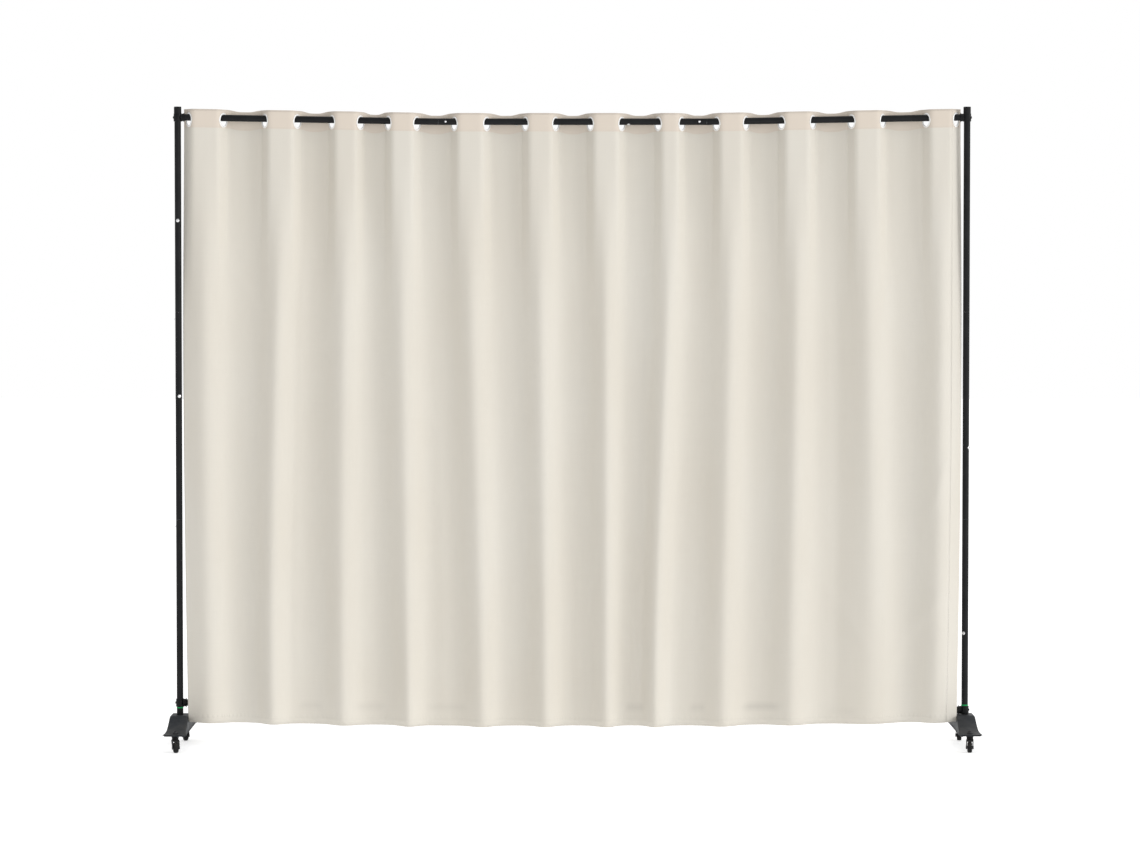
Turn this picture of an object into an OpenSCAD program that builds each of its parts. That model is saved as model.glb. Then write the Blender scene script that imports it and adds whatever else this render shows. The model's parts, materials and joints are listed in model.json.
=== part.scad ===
// Rolling curtain partition: two posts on castored feet, an upper and a lower
// crossbar, and a full-height eyelet curtain that draws along the upper bar.
// The origin is on the floor under the middle of the wall. X runs along the
// wall, the front faces -Y, and Z is up. All sizes are in millimetres.

/* [Wall] */
// Height from the floor to the top of the post caps
wall_h = 2440; // [2000:10:3000]
// Distance between the centres of the two posts
span = 3000; // [2200:10:4200]
// Height of the upper crossbar's axis at the posts, below the top of the caps
top_bar_drop = 41; // [41:1:80]
// How far the loaded upper crossbar sags between its two seams
bar_sag = 16; // [0:1:30]
// Height of the lower crossbar at the left post
low_bar_left_z = 168; // [160:1:260]
// Height of the lower crossbar above the saddle at the right post
low_bar_right_rise = 17.5; // [17.5:0.5:90]
// Length of the middle section of each crossbar
bar_middle = 1020; // [700:10:1400]

/* [Tubes] */
// Outside diameter of the posts and crossbars
tube_d = 25; // [22:0.5:32]
// Wall of the posts and crossbars
tube_wall = 1.2; // [1:0.1:2]
// Wall of the joining sleeves
sleeve_wall = 1.2; // [1:0.1:2]
// Radial clearance between a sleeve and the tube around it
sleeve_gap = 0.7; // [0.7:0.05:1]
// Gap left at the seam between two sections
seam_gap = 0.3; // [0.2:0.1:1]
// Height of the seam between the bottom and middle post sections
low_seam_z = 870; // [700:10:1000]
// Height of the seam between the middle and top post sections
high_seam_z = 1660; // [1450:10:1800]
// How far a sleeve reaches past a seam on its button side
sleeve_tail = 80; // [75:1:120]

/* [Fittings] */
// Wall of the cast tee's collar around the post
tee_wall = 2.9; // [2.5:0.1:5]
// Height of the tee's collar
tee_h = 30; // [26:1:40]
// How far the tee's stub reaches past the post's surface
tee_reach = 13; // [11:0.5:20]
// Radial clearance of tees and caps on the post
slip_gap = 0.1; // [0.05:0.05:0.2]
// Length of the tee's spigot inside the crossbar
tee_spigot = 42; // [30:1:45]
// Wall of the post cap
cap_wall = 1.5; // [1.2:0.1:3]
// Diameter of the pan heads that lock the sleeves
screw_head_d = 12.5; // [10:0.5:14]
// Height of the pan heads
screw_head_h = 3; // [2:0.1:4]
// Diameter of the lock screws' shanks
screw_d = 5; // [4:0.5:6]
// Diameter of the snap buttons
button_d = 7.5; // [6:0.5:8]
// How far a snap button stands out of its tube
button_proud = 3; // [2:0.5:3.5]
// Distance of a snap button from its seam
button_offset = 28; // [24:1:34]

/* [Feet] */
// Length of the foot from front to back
foot_len = 450; // [400:5:600]
// Width of the foot
foot_w = 80; // [72:1:120]
// Thickness of the foot's base plate
plate_t = 3; // [2.5:0.5:6]
// Corner radius of the base plate
plate_r = 10; // [4:1:16]
// Width of the pressed saddle
saddle_w = 70; // [56:1:72]
// Height of the saddle above the base plate
saddle_h = 55; // [40:1:80]
// Length of the saddle's flat top
saddle_top = 100; // [60:5:160]
// Length of the saddle along the base plate
saddle_base = 330; // [200:5:340]
// Sheet thickness of the saddle
saddle_t = 2; // [1.5:0.5:3]
// Height of the stub inside the post's lower end, above the base plate
stub_h = 410; // [340:5:450]

/* [Casters] */
// Height of a caster, from the floor to the base plate
caster_h = 64; // [62:1:80]
// Distance between the front and back caster stems
caster_pitch = 380; // [320:5:420]
// Wheel diameter
wheel_d = 40; // [36:1:42]
// Wheel width
wheel_w = 18; // [14:1:24]
// How far the wheel trails behind its stem
trail = 14; // [8:1:18]
// Stem diameter
stem_d = 10; // [8:1:12]
// Axle diameter
axle_d = 8; // [6:1:10]
// Radial running clearance of stems, axles and pedal pins
run_gap = 0.05; // [0.03:0.01:0.1]
// Angle at which the left casters stand, seen from above
yaw_left = 15; // [-20:1:20]
// Angle at which the right casters stand, seen from above
yaw_right = -8; // [-20:1:20]

/* [Curtain] */
// Height of the hem above the floor
hem_z = 89; // [80:1:160]
// Heading above the crossbar's axis
head_up = 32; // [30:1:45]
// Heading below the crossbar's axis
head_down = 38; // [38:1:60]
// How far the heading's folds stand in front of and behind the crossbar
fold_y = 26; // [24:1:34]
// Thickness of the cloth, measured front to back
cloth_t = 1.6; // [1:0.1:3]
// Inside diameter of an eyelet
eyelet_in = 43; // [40:1:50]
// Outside diameter of an eyelet
eyelet_out = 56; // [54:1:64]
// Thickness of an eyelet
eyelet_t = 4; // [3.6:0.2:6]

/* [Hidden] */
$fn = 48;

FRONT = -1;
BACK = 1;
LEFT = -1;
RIGHT = 1;
cut = 1; // how far a cutting shape runs past the face it cuts

tube_r = tube_d / 2;
bore_d = tube_d - 2 * tube_wall;
sleeve_d = bore_d - 2 * sleeve_gap;
sleeve_in = sleeve_d - 2 * sleeve_wall;
post_x = span / 2;
plate_top = caster_h + plate_t;
saddle_z = plate_top + saddle_h;
seam_x = bar_middle / 2;

// Tees
tee_d = tube_d + 2 * tee_wall;
tee_end = tube_r + tee_reach;
flange_d = tube_d + 9;
flange_t = 3;
stub_d = tube_d + 4;
collar_h = max(tee_h, stub_d + 1);
set_screw_head = [8, 2.5];

// Both crossbars tilt about the middle of the tees' spigots. The upper one
// hangs as three straight sections, lowest in the middle.
pivot_x = post_x - tee_end - tee_spigot / 2;
top_bar_z = wall_h - top_bar_drop;
tilt_x = pivot_x - seam_x;
function bar_z(x) = top_bar_z - bar_sag * min(1, (pivot_x - abs(x)) / tilt_x);

// The lower crossbar is straight and follows the heights of its two tees.
low_bar_right_z = saddle_z + max(low_bar_right_rise, flange_d / 2 + 0.5);
function low_z(x) = low_bar_left_z
    + (low_bar_right_z - low_bar_left_z) * (x + pivot_x) / (2 * pivot_x);

// Caps
cap_low = top_bar_z + collar_h / 2 + seam_gap;
cap_top = 2.5;

// Lock screws: height or place along the tube, and the direction they face.
// Post azimuths are seen from above, counted from +X.
left_screws = [[434, 100], [low_seam_z + 470, -75], [high_seam_z + 348, -90]];
right_screws = [[434, -120], [low_seam_z + 273, -35], [high_seam_z + 350, 90]];
bar_screw_x = 213;
bar_screw_turn = 150;
low_screw_turn = 0;
sleeve_past_screw = 40;
screw_hole = screw_d + 0.2;
button_hole = button_d + 0.2;
bar_sleeve_short = 40;

// Snap buttons
button_flange = [button_d + 2.5, 1];
button_seat = sqrt(pow(sleeve_in / 2, 2) - pow(button_flange[0] / 2, 2)) - 0.1;
button_x = seam_x - button_offset;
left_button_turn = 180;
right_button_turn = 90;
front_turn = 90;

// Feet
foot_bolt_d = 8;
foot_bolt_head = [13, 5.5];
stub_floor = 16; // thickness of the stub's solid lower end

// Casters
wheel_r = wheel_d / 2;
fork_in = wheel_w / 2 + 1.5;
fork_t = 3;
crown_low = wheel_d + 2;
crown_high = crown_low + 6;
neck_d = 27;
boss_d = 14;
stem_head = [15, 2.4];
stem_top = plate_top + 14;
nut_af = 17;
nut_h = 9;
washer_gap = 0.3;
pedal_w = 22;
pedal_pin = [-13, 45.5]; // y and z of the pedal's pin, from the stem
pin_d = 3;
pedal_barrel = 6;
pedal_reach = 26;
pedal_t = 3;
pedal_shoe = [-12, -8, -5.3]; // the brake shoe's ends along Y and its underside

// Curtain: eyelet places come from the widths of the folds between them, front
// and back in turn, shared out over the width between the end eyelets.
fold_shares = [134, 160, 126, 134, 111, 107, 111, 145, 126, 149, 118, 134,
    122, 141, 92, 134, 115, 137, 122, 149, 122, 168, 115];
folds = len(fold_shares);
function total(list, n) = n == 0 ? 0 : list[n - 1] + total(list, n - 1);
end_eyelet_x = post_x - tee_end - eyelet_out / 4 - 3;
function eyelet_x(i) = -end_eyelet_x
    + 2 * end_eyelet_x * total(fold_shares, i) / total(fold_shares, folds);
function fold_side(i) = i % 2 == 0 ? FRONT : BACK;
ramp_x = 15; // half the width over which the heading crosses the bar
ramp_turn = atan(fold_y / ramp_x);
edge_inset = 22;
side_edge_x = post_x - edge_inset;
lead_gap = 0.5;
lead_x = end_eyelet_x - ramp_x - 2;
eyelet_hang = (eyelet_in - tube_d) / 2 - 0.3;
groove_d = eyelet_out - 7;
groove_t = 1.6;
cloth_hole = groove_d + 0.4;
hang_y = -48; // where the folds hang over the lower crossbar
hang_depth = 27;
edge_bulge = 9;
edge_draw_in = saddle_w / 2 - edge_inset + 2; // the hem hangs clear of the saddles
drop_rows = 9;
fold_points = 3;

// ---------- helpers ----------

module tube(length, outer, inner) {
    difference() {
        cylinder(d = outer, h = length);
        translate([0, 0, -cut]) cylinder(d = inner, h = length + 2 * cut);
    }
}

// Runs children, drawn along +Z, from one point of the XZ plane towards another.
module aim(from, to) {
    translate([from[0], 0, from[1]])
        rotate([0, atan2(to[0] - from[0], to[1] - from[1]), 0])
            children();
}

module bar_section(from, to, start, finish) {
    run = norm(to - from);
    aim(from, to)
        translate([0, 0, start])
            tube(run - start - finish, tube_d, bore_d);
}

// Turns +Z outwards from a post, at a height and an azimuth.
module on_post(side, z, azimuth) {
    translate([side * post_x, 0, z])
        rotate([0, 0, azimuth])
            rotate([0, 90, 0])
                children();
}

// Turns +Z outwards from a crossbar. A turn of 90 faces the front.
module on_bar(x, z, turn) {
    translate([x, 0, z]) rotate([turn, 0, 0]) children();
}

module radial_hole(d) {
    cylinder(d = d, h = tube_d);
}

// ---------- posts ----------

module post_tube(low, high) {
    translate([0, 0, low]) tube(high - low - seam_gap, tube_d, bore_d);
}

module post_section(side, low, high, screws, turn) {
    difference() {
        translate([side * post_x, 0, 0]) post_tube(low, high);
        for (s = screws)
            if (s[0] > low && s[0] < high)
                on_post(side, s[0], s[1]) radial_hole(screw_hole);
        for (seam = [low_seam_z, high_seam_z])
            if (high == seam)
                on_post(side, seam - button_offset, turn) radial_hole(button_hole);
    }
}

module post_color() {
    color([0.17, 0.18, 0.2]) children();
}

module left_section(low, high) {
    post_color() post_section(LEFT, low, high, left_screws, left_button_turn);
}

module right_section(low, high) {
    post_color() post_section(RIGHT, low, high, right_screws, right_button_turn);
}

module post_caps() {
    cap_in = tube_d + 2 * slip_gap;
    color([0.12, 0.12, 0.13])
        for (side = [LEFT, RIGHT])
            translate([side * post_x, 0, cap_low])
                difference() {
                    cylinder(d = cap_in + 2 * cap_wall, h = wall_h - cap_low);
                    translate([0, 0, -cut])
                        cylinder(d = cap_in, h = wall_h - cap_low - cap_top + cut);
                }
}

// ---------- sleeves, screws and snap buttons ----------

module post_sleeve(side, seam, screw, turn) {
    bottom = seam - sleeve_tail;
    difference() {
        translate([side * post_x, 0, bottom])
            tube(screw[0] + sleeve_past_screw - bottom, sleeve_d, sleeve_in);
        on_post(side, screw[0], screw[1]) radial_hole(screw_hole);
        on_post(side, seam - button_offset, turn) radial_hole(button_hole);
    }
}

module post_sleeves() {
    color("silver") {
        post_sleeve(LEFT, low_seam_z, left_screws[1], left_button_turn);
        post_sleeve(LEFT, high_seam_z, left_screws[2], left_button_turn);
        post_sleeve(RIGHT, low_seam_z, right_screws[1], right_button_turn);
        post_sleeve(RIGHT, high_seam_z, right_screws[2], right_button_turn);
    }
}

// A bar sleeve lies in line with the middle section and reaches a short way
// into the outer one, which may tilt around it.
// Heights are those at the sleeve's screw and at its button.
module bar_sleeve(side, screw_z, button_z, screw_turn) {
    inner = bar_screw_x - sleeve_past_screw;
    outer = seam_x + bar_sleeve_short;
    slope = (button_z - screw_z) / (button_x - bar_screw_x);
    difference() {
        aim([side * inner, screw_z - slope * sleeve_past_screw],
            [side * outer, button_z + slope * (outer - button_x)])
            tube(outer - inner, sleeve_d, sleeve_in);
        on_bar(side * bar_screw_x, screw_z, screw_turn) radial_hole(screw_hole);
        on_bar(side * button_x, button_z, front_turn) radial_hole(button_hole);
    }
}

module bar_sleeves() {
    color("silver")
        for (side = [LEFT, RIGHT]) {
            bar_sleeve(side, bar_z(0), bar_z(0), side * bar_screw_turn);
            bar_sleeve(side, low_z(side * bar_screw_x), low_z(side * button_x), low_screw_turn);
        }
}

module lock_screw() {
    slot = [1.4, screw_head_d * 0.55, 1.8];
    seat = tube_r + 0.1;
    difference() {
        translate([0, 0, seat])
            intersection() {
                cylinder(d = screw_head_d, h = screw_head_h);
                translate([0, 0, screw_head_h - screw_head_d])
                    sphere(r = screw_head_d);
            }
        for (turn = [0, 90])
            rotate([0, 0, turn])
                translate([-slot[0] / 2, -slot[1] / 2, seat + screw_head_h - slot[2]])
                    cube([slot[0], slot[1], slot[2] + cut]);
    }
    translate([0, 0, sleeve_in / 2 - 1.5])
        cylinder(d = screw_d, h = seat - sleeve_in / 2 + 1.5);
}

module lock_screws() {
    color("silver") {
        for (s = left_screws) on_post(LEFT, s[0], s[1]) lock_screw();
        for (s = right_screws) on_post(RIGHT, s[0], s[1]) lock_screw();
        for (side = [LEFT, RIGHT]) {
            on_bar(side * bar_screw_x, bar_z(0), side * bar_screw_turn) lock_screw();
            on_bar(side * bar_screw_x, low_z(side * bar_screw_x), low_screw_turn)
                lock_screw();
        }
    }
}

module snap_button() {
    top = tube_r + button_proud;
    color("silver") {
        intersection() {
            translate([0, 0, button_seat - 0.5])
                cylinder(d = button_d, h = top - button_seat + 0.5);
            translate([0, 0, top - button_d]) sphere(r = button_d);
        }
        translate([0, 0, button_seat - button_flange[1]])
            cylinder(d = button_flange[0], h = button_flange[1]);
    }
}

// A folded leaf that holds the button out against the far wall of the sleeve.
module snap_spring() {
    strip = 0.6;
    width = button_d - 1.5;
    reach = 34;
    high = button_seat - button_flange[1] - 0.1;
    low = -sqrt(pow(sleeve_in / 2, 2) - pow(width / 2, 2)) + 0.4;
    rotate([90, 0, 0])
        linear_extrude(width, center = true)
            polygon([[-5, high], [reach, low + strip], [reach, low], [-5, low],
                [-5, low + strip], [reach - 2, low + strip], [-5, high - strip]]);
}

module at_post_button(side, seam) {
    on_post(side, seam - button_offset, side == LEFT ? left_button_turn : right_button_turn)
        children();
}

module at_top_button(side) {
    on_bar(side * button_x, bar_z(0), front_turn) children();
}

module at_low_button(side) {
    on_bar(side * button_x, low_z(side * button_x), front_turn) children();
}

module button_springs() {
    color([0.55, 0.56, 0.6])
        for (side = [LEFT, RIGHT]) {
            at_post_button(side, low_seam_z) snap_spring();
            at_post_button(side, high_seam_z) snap_spring();
            at_top_button(side) snap_spring();
            at_low_button(side) snap_spring();
        }
}

// Bands on the posts that mark where the lower tees are clamped: under the
// left tee and over the right one.
module height_rings() {
    band = [0.3, 4];
    inner = tube_d + 0.1;
    past_tee = collar_h / 2 + 1.5;
    color([0.1, 0.55, 0.32])
        for (low = [[-post_x, low_bar_left_z - past_tee - band[1]],
                [post_x, low_bar_right_z + past_tee]])
            translate([low[0], 0, low[1]])
                tube(band[1], inner + 2 * band[0], inner);
}

// ---------- crossbars ----------

bar_start = seam_gap - tee_spigot / 2;

module top_bar_outer(side) {
    post_color()
        bar_section([side * pivot_x, top_bar_z], [side * seam_x, bar_z(seam_x)],
            bar_start, seam_gap);
}

module top_bar_middle() {
    post_color()
        difference() {
            bar_section([-seam_x, bar_z(0)], [seam_x, bar_z(0)], 0, 0);
            for (side = [LEFT, RIGHT]) {
                at_top_button(side) radial_hole(button_hole);
                on_bar(side * bar_screw_x, bar_z(0), side * bar_screw_turn)
                    radial_hole(screw_hole);
            }
        }
}

module low_bar_outer(side) {
    post_color()
        bar_section([side * pivot_x, low_z(side * pivot_x)], [side * seam_x, low_z(side * seam_x)],
            bar_start, seam_gap);
}

module low_bar_middle() {
    post_color()
        difference() {
            bar_section([-seam_x, low_z(-seam_x)], [seam_x, low_z(seam_x)], 0, 0);
            for (side = [LEFT, RIGHT]) {
                at_low_button(side) radial_hole(button_hole);
                on_bar(side * bar_screw_x, low_z(side * bar_screw_x), low_screw_turn)
                    radial_hole(screw_hole);
            }
        }
}

// A cast tee. Its stub and spigot point along +X.
module tee_shape() {
    difference() {
        union() {
            translate([0, 0, -collar_h / 2]) cylinder(d = tee_d, h = collar_h);
            rotate([0, 90, 0]) cylinder(d = stub_d, h = tee_end - flange_t);
            translate([tee_end - flange_t, 0, 0])
                rotate([0, 90, 0])
                    cylinder(d = flange_d, h = flange_t);
            rotate([0, 90, 0]) cylinder(d = sleeve_d, h = tee_end + tee_spigot);
        }
        translate([0, 0, -collar_h]) cylinder(d = tube_d + 2 * slip_gap, h = 2 * collar_h);
        rotate([0, -90, 0]) cylinder(d = screw_hole, h = tee_d);
    }
}

module tee(side, z) {
    color([0.15, 0.15, 0.17])
        translate([side * post_x, 0, z])
            rotate([0, 0, side == LEFT ? 0 : 180])
                tee_shape();
}

module tee_set_screws() {
    color([0.2, 0.2, 0.22])
        for (side = [LEFT, RIGHT],
            z = [top_bar_z, side == LEFT ? low_bar_left_z : low_bar_right_z])
            translate([side * post_x, 0, z])
                rotate([0, side * 90, 0]) {
                    translate([0, 0, tee_d / 2])
                        cylinder(d = set_screw_head[0], h = set_screw_head[1]);
                    translate([0, 0, tube_r + 0.05])
                        cylinder(d = screw_d, h = tee_d / 2 - tube_r);
                }
}

// ---------- feet ----------

module rounded_plate(length, width, thick, radius) {
    linear_extrude(thick) {
        square([width - 2 * radius, length], center = true);
        square([width, length - 2 * radius], center = true);
        for (x = [-1, 1], y = [-1, 1])
            translate([x * (width / 2 - radius), y * (length / 2 - radius)])
                circle(radius);
    }
}

module foot_plate(side) {
    color([0.16, 0.17, 0.19])
        translate([side * post_x, 0, caster_h])
            difference() {
                rounded_plate(foot_len, foot_w, plate_t, plate_r);
                for (end = [FRONT, BACK])
                    translate([0, end * caster_pitch / 2, -cut])
                        cylinder(d = stem_d + 0.4, h = plate_t + 2 * cut);
                translate([0, 0, -cut]) cylinder(d = foot_bolt_d + 0.4, h = plate_t + 2 * cut);
            }
}

module saddle_block(top, base, width, high) {
    rotate([90, 0, 90])
        linear_extrude(width, center = true)
            polygon([[-base / 2, 0], [base / 2, 0], [top / 2, high], [-top / 2, high]]);
}

module foot_saddle(side) {
    slope = atan2(saddle_h, (saddle_base - saddle_top) / 2);
    inset = saddle_t / sin(slope);
    thin = saddle_t / tan(slope);
    color([0.17, 0.18, 0.2])
        translate([side * post_x, 0, plate_top])
            difference() {
                saddle_block(saddle_top, saddle_base, saddle_w, saddle_h);
                translate([0, 0, -0.001])
                    saddle_block(saddle_top - 2 * inset + 2 * thin, saddle_base - 2 * inset,
                        saddle_w - 2 * saddle_t, saddle_h - saddle_t);
                cylinder(d = sleeve_d + 2 * slip_gap, h = saddle_h + cut);
            }
}

module foot_stubs() {
    color("silver")
        for (side = [LEFT, RIGHT]) {
            screw = side == LEFT ? left_screws[0] : right_screws[0];
            difference() {
                translate([side * post_x, 0, plate_top])
                    difference() {
                        cylinder(d = sleeve_d, h = stub_h);
                        translate([0, 0, stub_floor]) cylinder(d = sleeve_in, h = stub_h);
                        translate([0, 0, -cut])
                            cylinder(d = foot_bolt_d + 0.2, h = stub_floor + 2 * cut);
                    }
                on_post(side, screw[0], screw[1]) radial_hole(screw_hole);
            }
        }
}

module foot_bolts() {
    head_h = foot_bolt_head[1];
    color([0.3, 0.3, 0.32])
        for (side = [LEFT, RIGHT])
            translate([side * post_x, 0, caster_h - head_h]) {
                cylinder(d = foot_bolt_head[0] / cos(30), h = head_h, $fn = 6);
                cylinder(d = foot_bolt_d, h = head_h + plate_t + stub_floor - 2);
            }
}

// ---------- casters ----------

module at_caster(side, end) {
    translate([side * post_x, end * caster_pitch / 2, 0])
        rotate([0, 0, side == LEFT ? yaw_left : yaw_right])
            children();
}

module caster_stems() {
    color("silver")
        for (side = [LEFT, RIGHT], end = [FRONT, BACK])
            at_caster(side, end) {
                translate([0, 0, crown_low]) cylinder(d = stem_head[0], h = stem_head[1]);
                translate([0, 0, crown_low]) cylinder(d = stem_d, h = stem_top - crown_low);
            }
}

module stem_nuts() {
    color([0.2, 0.2, 0.22])
        for (side = [LEFT, RIGHT], end = [FRONT, BACK])
            translate([side * post_x, end * caster_pitch / 2, plate_top])
                difference() {
                    cylinder(d = nut_af / cos(30), h = nut_h, $fn = 6);
                    translate([0, 0, -cut])
                        cylinder(d = stem_d + 2 * run_gap, h = nut_h + 2 * cut);
                }
}

module fork_arm() {
    rotate([90, 0, 90])
        linear_extrude(fork_t) {
            polygon([[-trail - boss_d / 2, wheel_r], [-trail + boss_d / 2, wheel_r],
                [neck_d / 2, crown_low], [neck_d / 2, crown_high],
                [-neck_d / 2 - 2, crown_high], [-trail - boss_d / 2, crown_low - 8]]);
            translate([-trail, wheel_r]) circle(d = boss_d);
        }
}

module fork(side, end, braked) {
    color([0.1, 0.1, 0.11])
        at_caster(side, end)
            difference() {
                union() {
                    translate([0, 0, crown_low])
                        cylinder(d = neck_d, h = caster_h - washer_gap - crown_low);
                    translate([-fork_in - fork_t, -neck_d / 2, crown_low])
                        cube([2 * (fork_in + fork_t), neck_d, crown_high - crown_low]);
                    translate([fork_in, 0, 0]) fork_arm();
                    translate([-fork_in - fork_t, 0, 0]) fork_arm();
                }
                translate([0, 0, crown_low - cut])
                    cylinder(d = stem_d + 2 * run_gap, h = caster_h);
                translate([0, 0, crown_low - cut])
                    cylinder(d = stem_head[0] + 1, h = cut + stem_head[1] + 0.2);
                translate([-wheel_w * 2, -trail, wheel_r])
                    rotate([0, 90, 0])
                        cylinder(d = axle_d + 2 * run_gap, h = wheel_w * 4);
                if (braked) pedal_room();
            }
}

// The room that the pedal's barrel and pin need in the fork.
module pedal_room() {
    translate([-pedal_w / 2 - 0.3, pedal_pin[0] - pedal_barrel, pedal_pin[1] - pedal_barrel])
        cube([pedal_w + 0.6, pedal_barrel * 1.6, 2 * pedal_barrel]);
    translate([-wheel_w * 2, pedal_pin[0], pedal_pin[1]])
        rotate([0, 90, 0])
            cylinder(d = pin_d + 2 * run_gap, h = wheel_w * 4);
}

module axle(side, end, braked) {
    reach = fork_in + fork_t;
    color("silver")
        at_caster(side, end) {
            translate([-reach - 1.5, -trail, wheel_r])
                rotate([0, 90, 0])
                    cylinder(d = axle_d, h = 2 * reach + 3);
            if (braked)
                translate([-reach - 0.5, pedal_pin[0], pedal_pin[1]])
                    rotate([0, 90, 0])
                        cylinder(d = pin_d, h = 2 * reach + 1);
        }
}

module wheel(side, end) {
    crown = 5; // how far the tread falls away towards the wheel's sides
    half = wheel_w / 2;
    color([0.07, 0.07, 0.08])
        at_caster(side, end)
            translate([0, -trail, wheel_r])
                rotate([0, 90, 0])
                    rotate_extrude($fn = 64)
                        polygon(concat(
                            [[axle_d / 2 + run_gap, half + 1], [axle_d / 2 + run_gap, -half - 1],
                             [7, -half - 1], [7.5, -half + 2], [wheel_r - 7, -half + 2],
                             [wheel_r - 6, -half]],
                            [for (a = [-80:20:80]) [wheel_r - crown + crown * cos(a), half * sin(a)]],
                            [[wheel_r - 6, half], [wheel_r - 7, half - 2], [7.5, half - 2],
                             [7, half + 1]]));
}

module pedal(side) {
    color([0.09, 0.09, 0.1])
        at_caster(side, FRONT)
            translate([0, pedal_pin[0], pedal_pin[1]])
                difference() {
                    union() {
                        translate([-pedal_w / 2, 0, 0])
                            rotate([0, 90, 0])
                                cylinder(d = pedal_barrel, h = pedal_w);
                        translate([-pedal_w / 2, -pedal_reach, -pedal_t / 2])
                            cube([pedal_w, pedal_reach, pedal_t]);
                        translate([-pedal_w / 2, -pedal_reach, -pedal_t / 2])
                            cube([pedal_w, 3, pedal_t + 2]);
                        translate([-wheel_w / 2 + 2, pedal_shoe[0], pedal_shoe[2]])
                            cube([wheel_w - 4, pedal_shoe[1] - pedal_shoe[0], -pedal_shoe[2]]);
                    }
                    translate([-pedal_w, 0, 0])
                        rotate([0, 90, 0])
                            cylinder(d = pin_d + 2 * run_gap, h = 2 * pedal_w);
                }
}

// ---------- curtain ----------

// Columns run along the heading. Each is [x, y at the heading, y at the hem].
function hang(side, share) = hang_y + side * hang_depth * sin(180 * share);
function fold_columns(i) = [
    let (a = eyelet_x(i) + ramp_x, b = eyelet_x(i + 1) - ramp_x, side = fold_side(i))
    for (k = [0 : fold_points + 1])
        let (share = k / (fold_points + 1))
        [a + (b - a) * share, side * fold_y, hang(side, 0.1 + 0.8 * share)]];
left_columns = [[-side_edge_x, fold_y, hang_y], [eyelet_x(0) - ramp_x, fold_y, hang_y]];
lead_columns = [[lead_x, -fold_y, hang_y - 5], [eyelet_x(folds) - ramp_x, -fold_y, hang_y - 5],
    [eyelet_x(folds) + ramp_x, fold_y, hang_y], [side_edge_x, fold_y, hang_y]];
all_columns = concat(left_columns, [for (i = [0 : folds - 1]) each fold_columns(i)]);
main_columns = concat([for (c = all_columns) if (c[0] < lead_x - lead_gap) c],
    [[lead_x - lead_gap, -fold_y, hang_y - 5]]);

// Rows run from the hem up. A share of 0 is the hem and 1 the heading's foot.
function side_shift(share) = edge_bulge * sin(180 * share) - edge_draw_in * (1 - share);
function drop_point(c, share) =
    let (top = bar_z(c[0]) - head_down - seam_gap)
    [c[0] * (1 + side_shift(share) / side_edge_x), c[2] + (c[1] - c[2]) * share,
        hem_z + (top - hem_z) * share];
function heading_point(c, share) =
    [c[0], c[1], bar_z(c[0]) - head_down + (head_up + head_down) * share];

function slab_faces(n, m) = let (b = n * m) concat(
    [for (r = [0 : m - 2], c = [0 : n - 2]) let (p = r * n + c) each
        [[p, p + n, p + n + 1], [p, p + n + 1, p + 1],
         [b + p, b + p + 1, b + p + n + 1], [b + p, b + p + n + 1, b + p + n]]],
    [for (c = [0 : n - 2]) let (t = (m - 1) * n + c) each
        [[c, c + 1, b + c + 1], [c, b + c + 1, b + c],
         [t + 1, t, b + t], [t + 1, b + t, b + t + 1]]],
    [for (r = [0 : m - 2]) let (l = r * n, e = r * n + n - 1) each
        [[l + n, l, b + l], [l + n, b + l, b + l + n],
         [e, e + n, b + e + n], [e, b + e + n, b + e]]]);

// A closed slab of cloth through rows of points, half its thickness each way.
module slab(rows) {
    n = len(rows[0]);
    points = [for (side = [FRONT, BACK]) for (row = rows) for (p = row)
        p + [0, side * cloth_t / 2, 0]];
    polyhedron(points, slab_faces(n, len(rows)));
}

function drop_rows_of(columns) = [for (r = [0 : drop_rows - 1])
    [for (c = columns) drop_point(c, r / (drop_rows - 1))]];
function heading_rows_of(columns) = [for (share = [0, 1])
    [for (c = columns) heading_point(c, share)]];

module at_eyelet(i) {
    x = eyelet_x(i);
    lean = fold_side(i) == FRONT ? -ramp_turn : ramp_turn;
    translate([x, 0, bar_z(x) - eyelet_hang])
        rotate([0, 0, lean])
            rotate([90, 0, 0])
                children();
}

module eyelet_holes(first, last) {
    for (i = [first : last])
        at_eyelet(i) cylinder(d = cloth_hole, h = 12, center = true, $fn = 32);
}

module eyelet() {
    r_in = eyelet_in / 2;
    r_out = eyelet_out / 2;
    t = eyelet_t / 2;
    g = groove_t / 2;
    rotate_extrude()
        polygon([[r_in, -t + 1], [r_in + 1, -t], [r_out - 1, -t], [r_out, -t + 0.8],
            [r_out, -g], [groove_d / 2, -g], [groove_d / 2, g], [r_out, g],
            [r_out, t - 0.8], [r_out - 1, t], [r_in + 1, t], [r_in, t - 1]]);
}

module cloth_color() {
    color([0.87, 0.84, 0.79]) children();
}

module curtain_heading() {
    cloth_color()
        difference() {
            slab(heading_rows_of(main_columns));
            eyelet_holes(0, folds - 1);
        }
}

module curtain_drop() {
    cloth_color() slab(drop_rows_of(main_columns));
}

module curtain_eyelets() {
    color([0.85, 0.85, 0.86])
        for (i = [0 : folds - 1])
            at_eyelet(i) eyelet();
}

// The leading edge is one strip from the hem to the top of the heading.
module leading_edge() {
    cloth_color()
        difference() {
            slab(concat(drop_rows_of(lead_columns), [heading_rows_of(lead_columns)[1]]));
            eyelet_holes(folds, folds);
        }
}

module leading_eyelet() {
    color([0.85, 0.85, 0.86]) at_eyelet(folds) eyelet();
}

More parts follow.
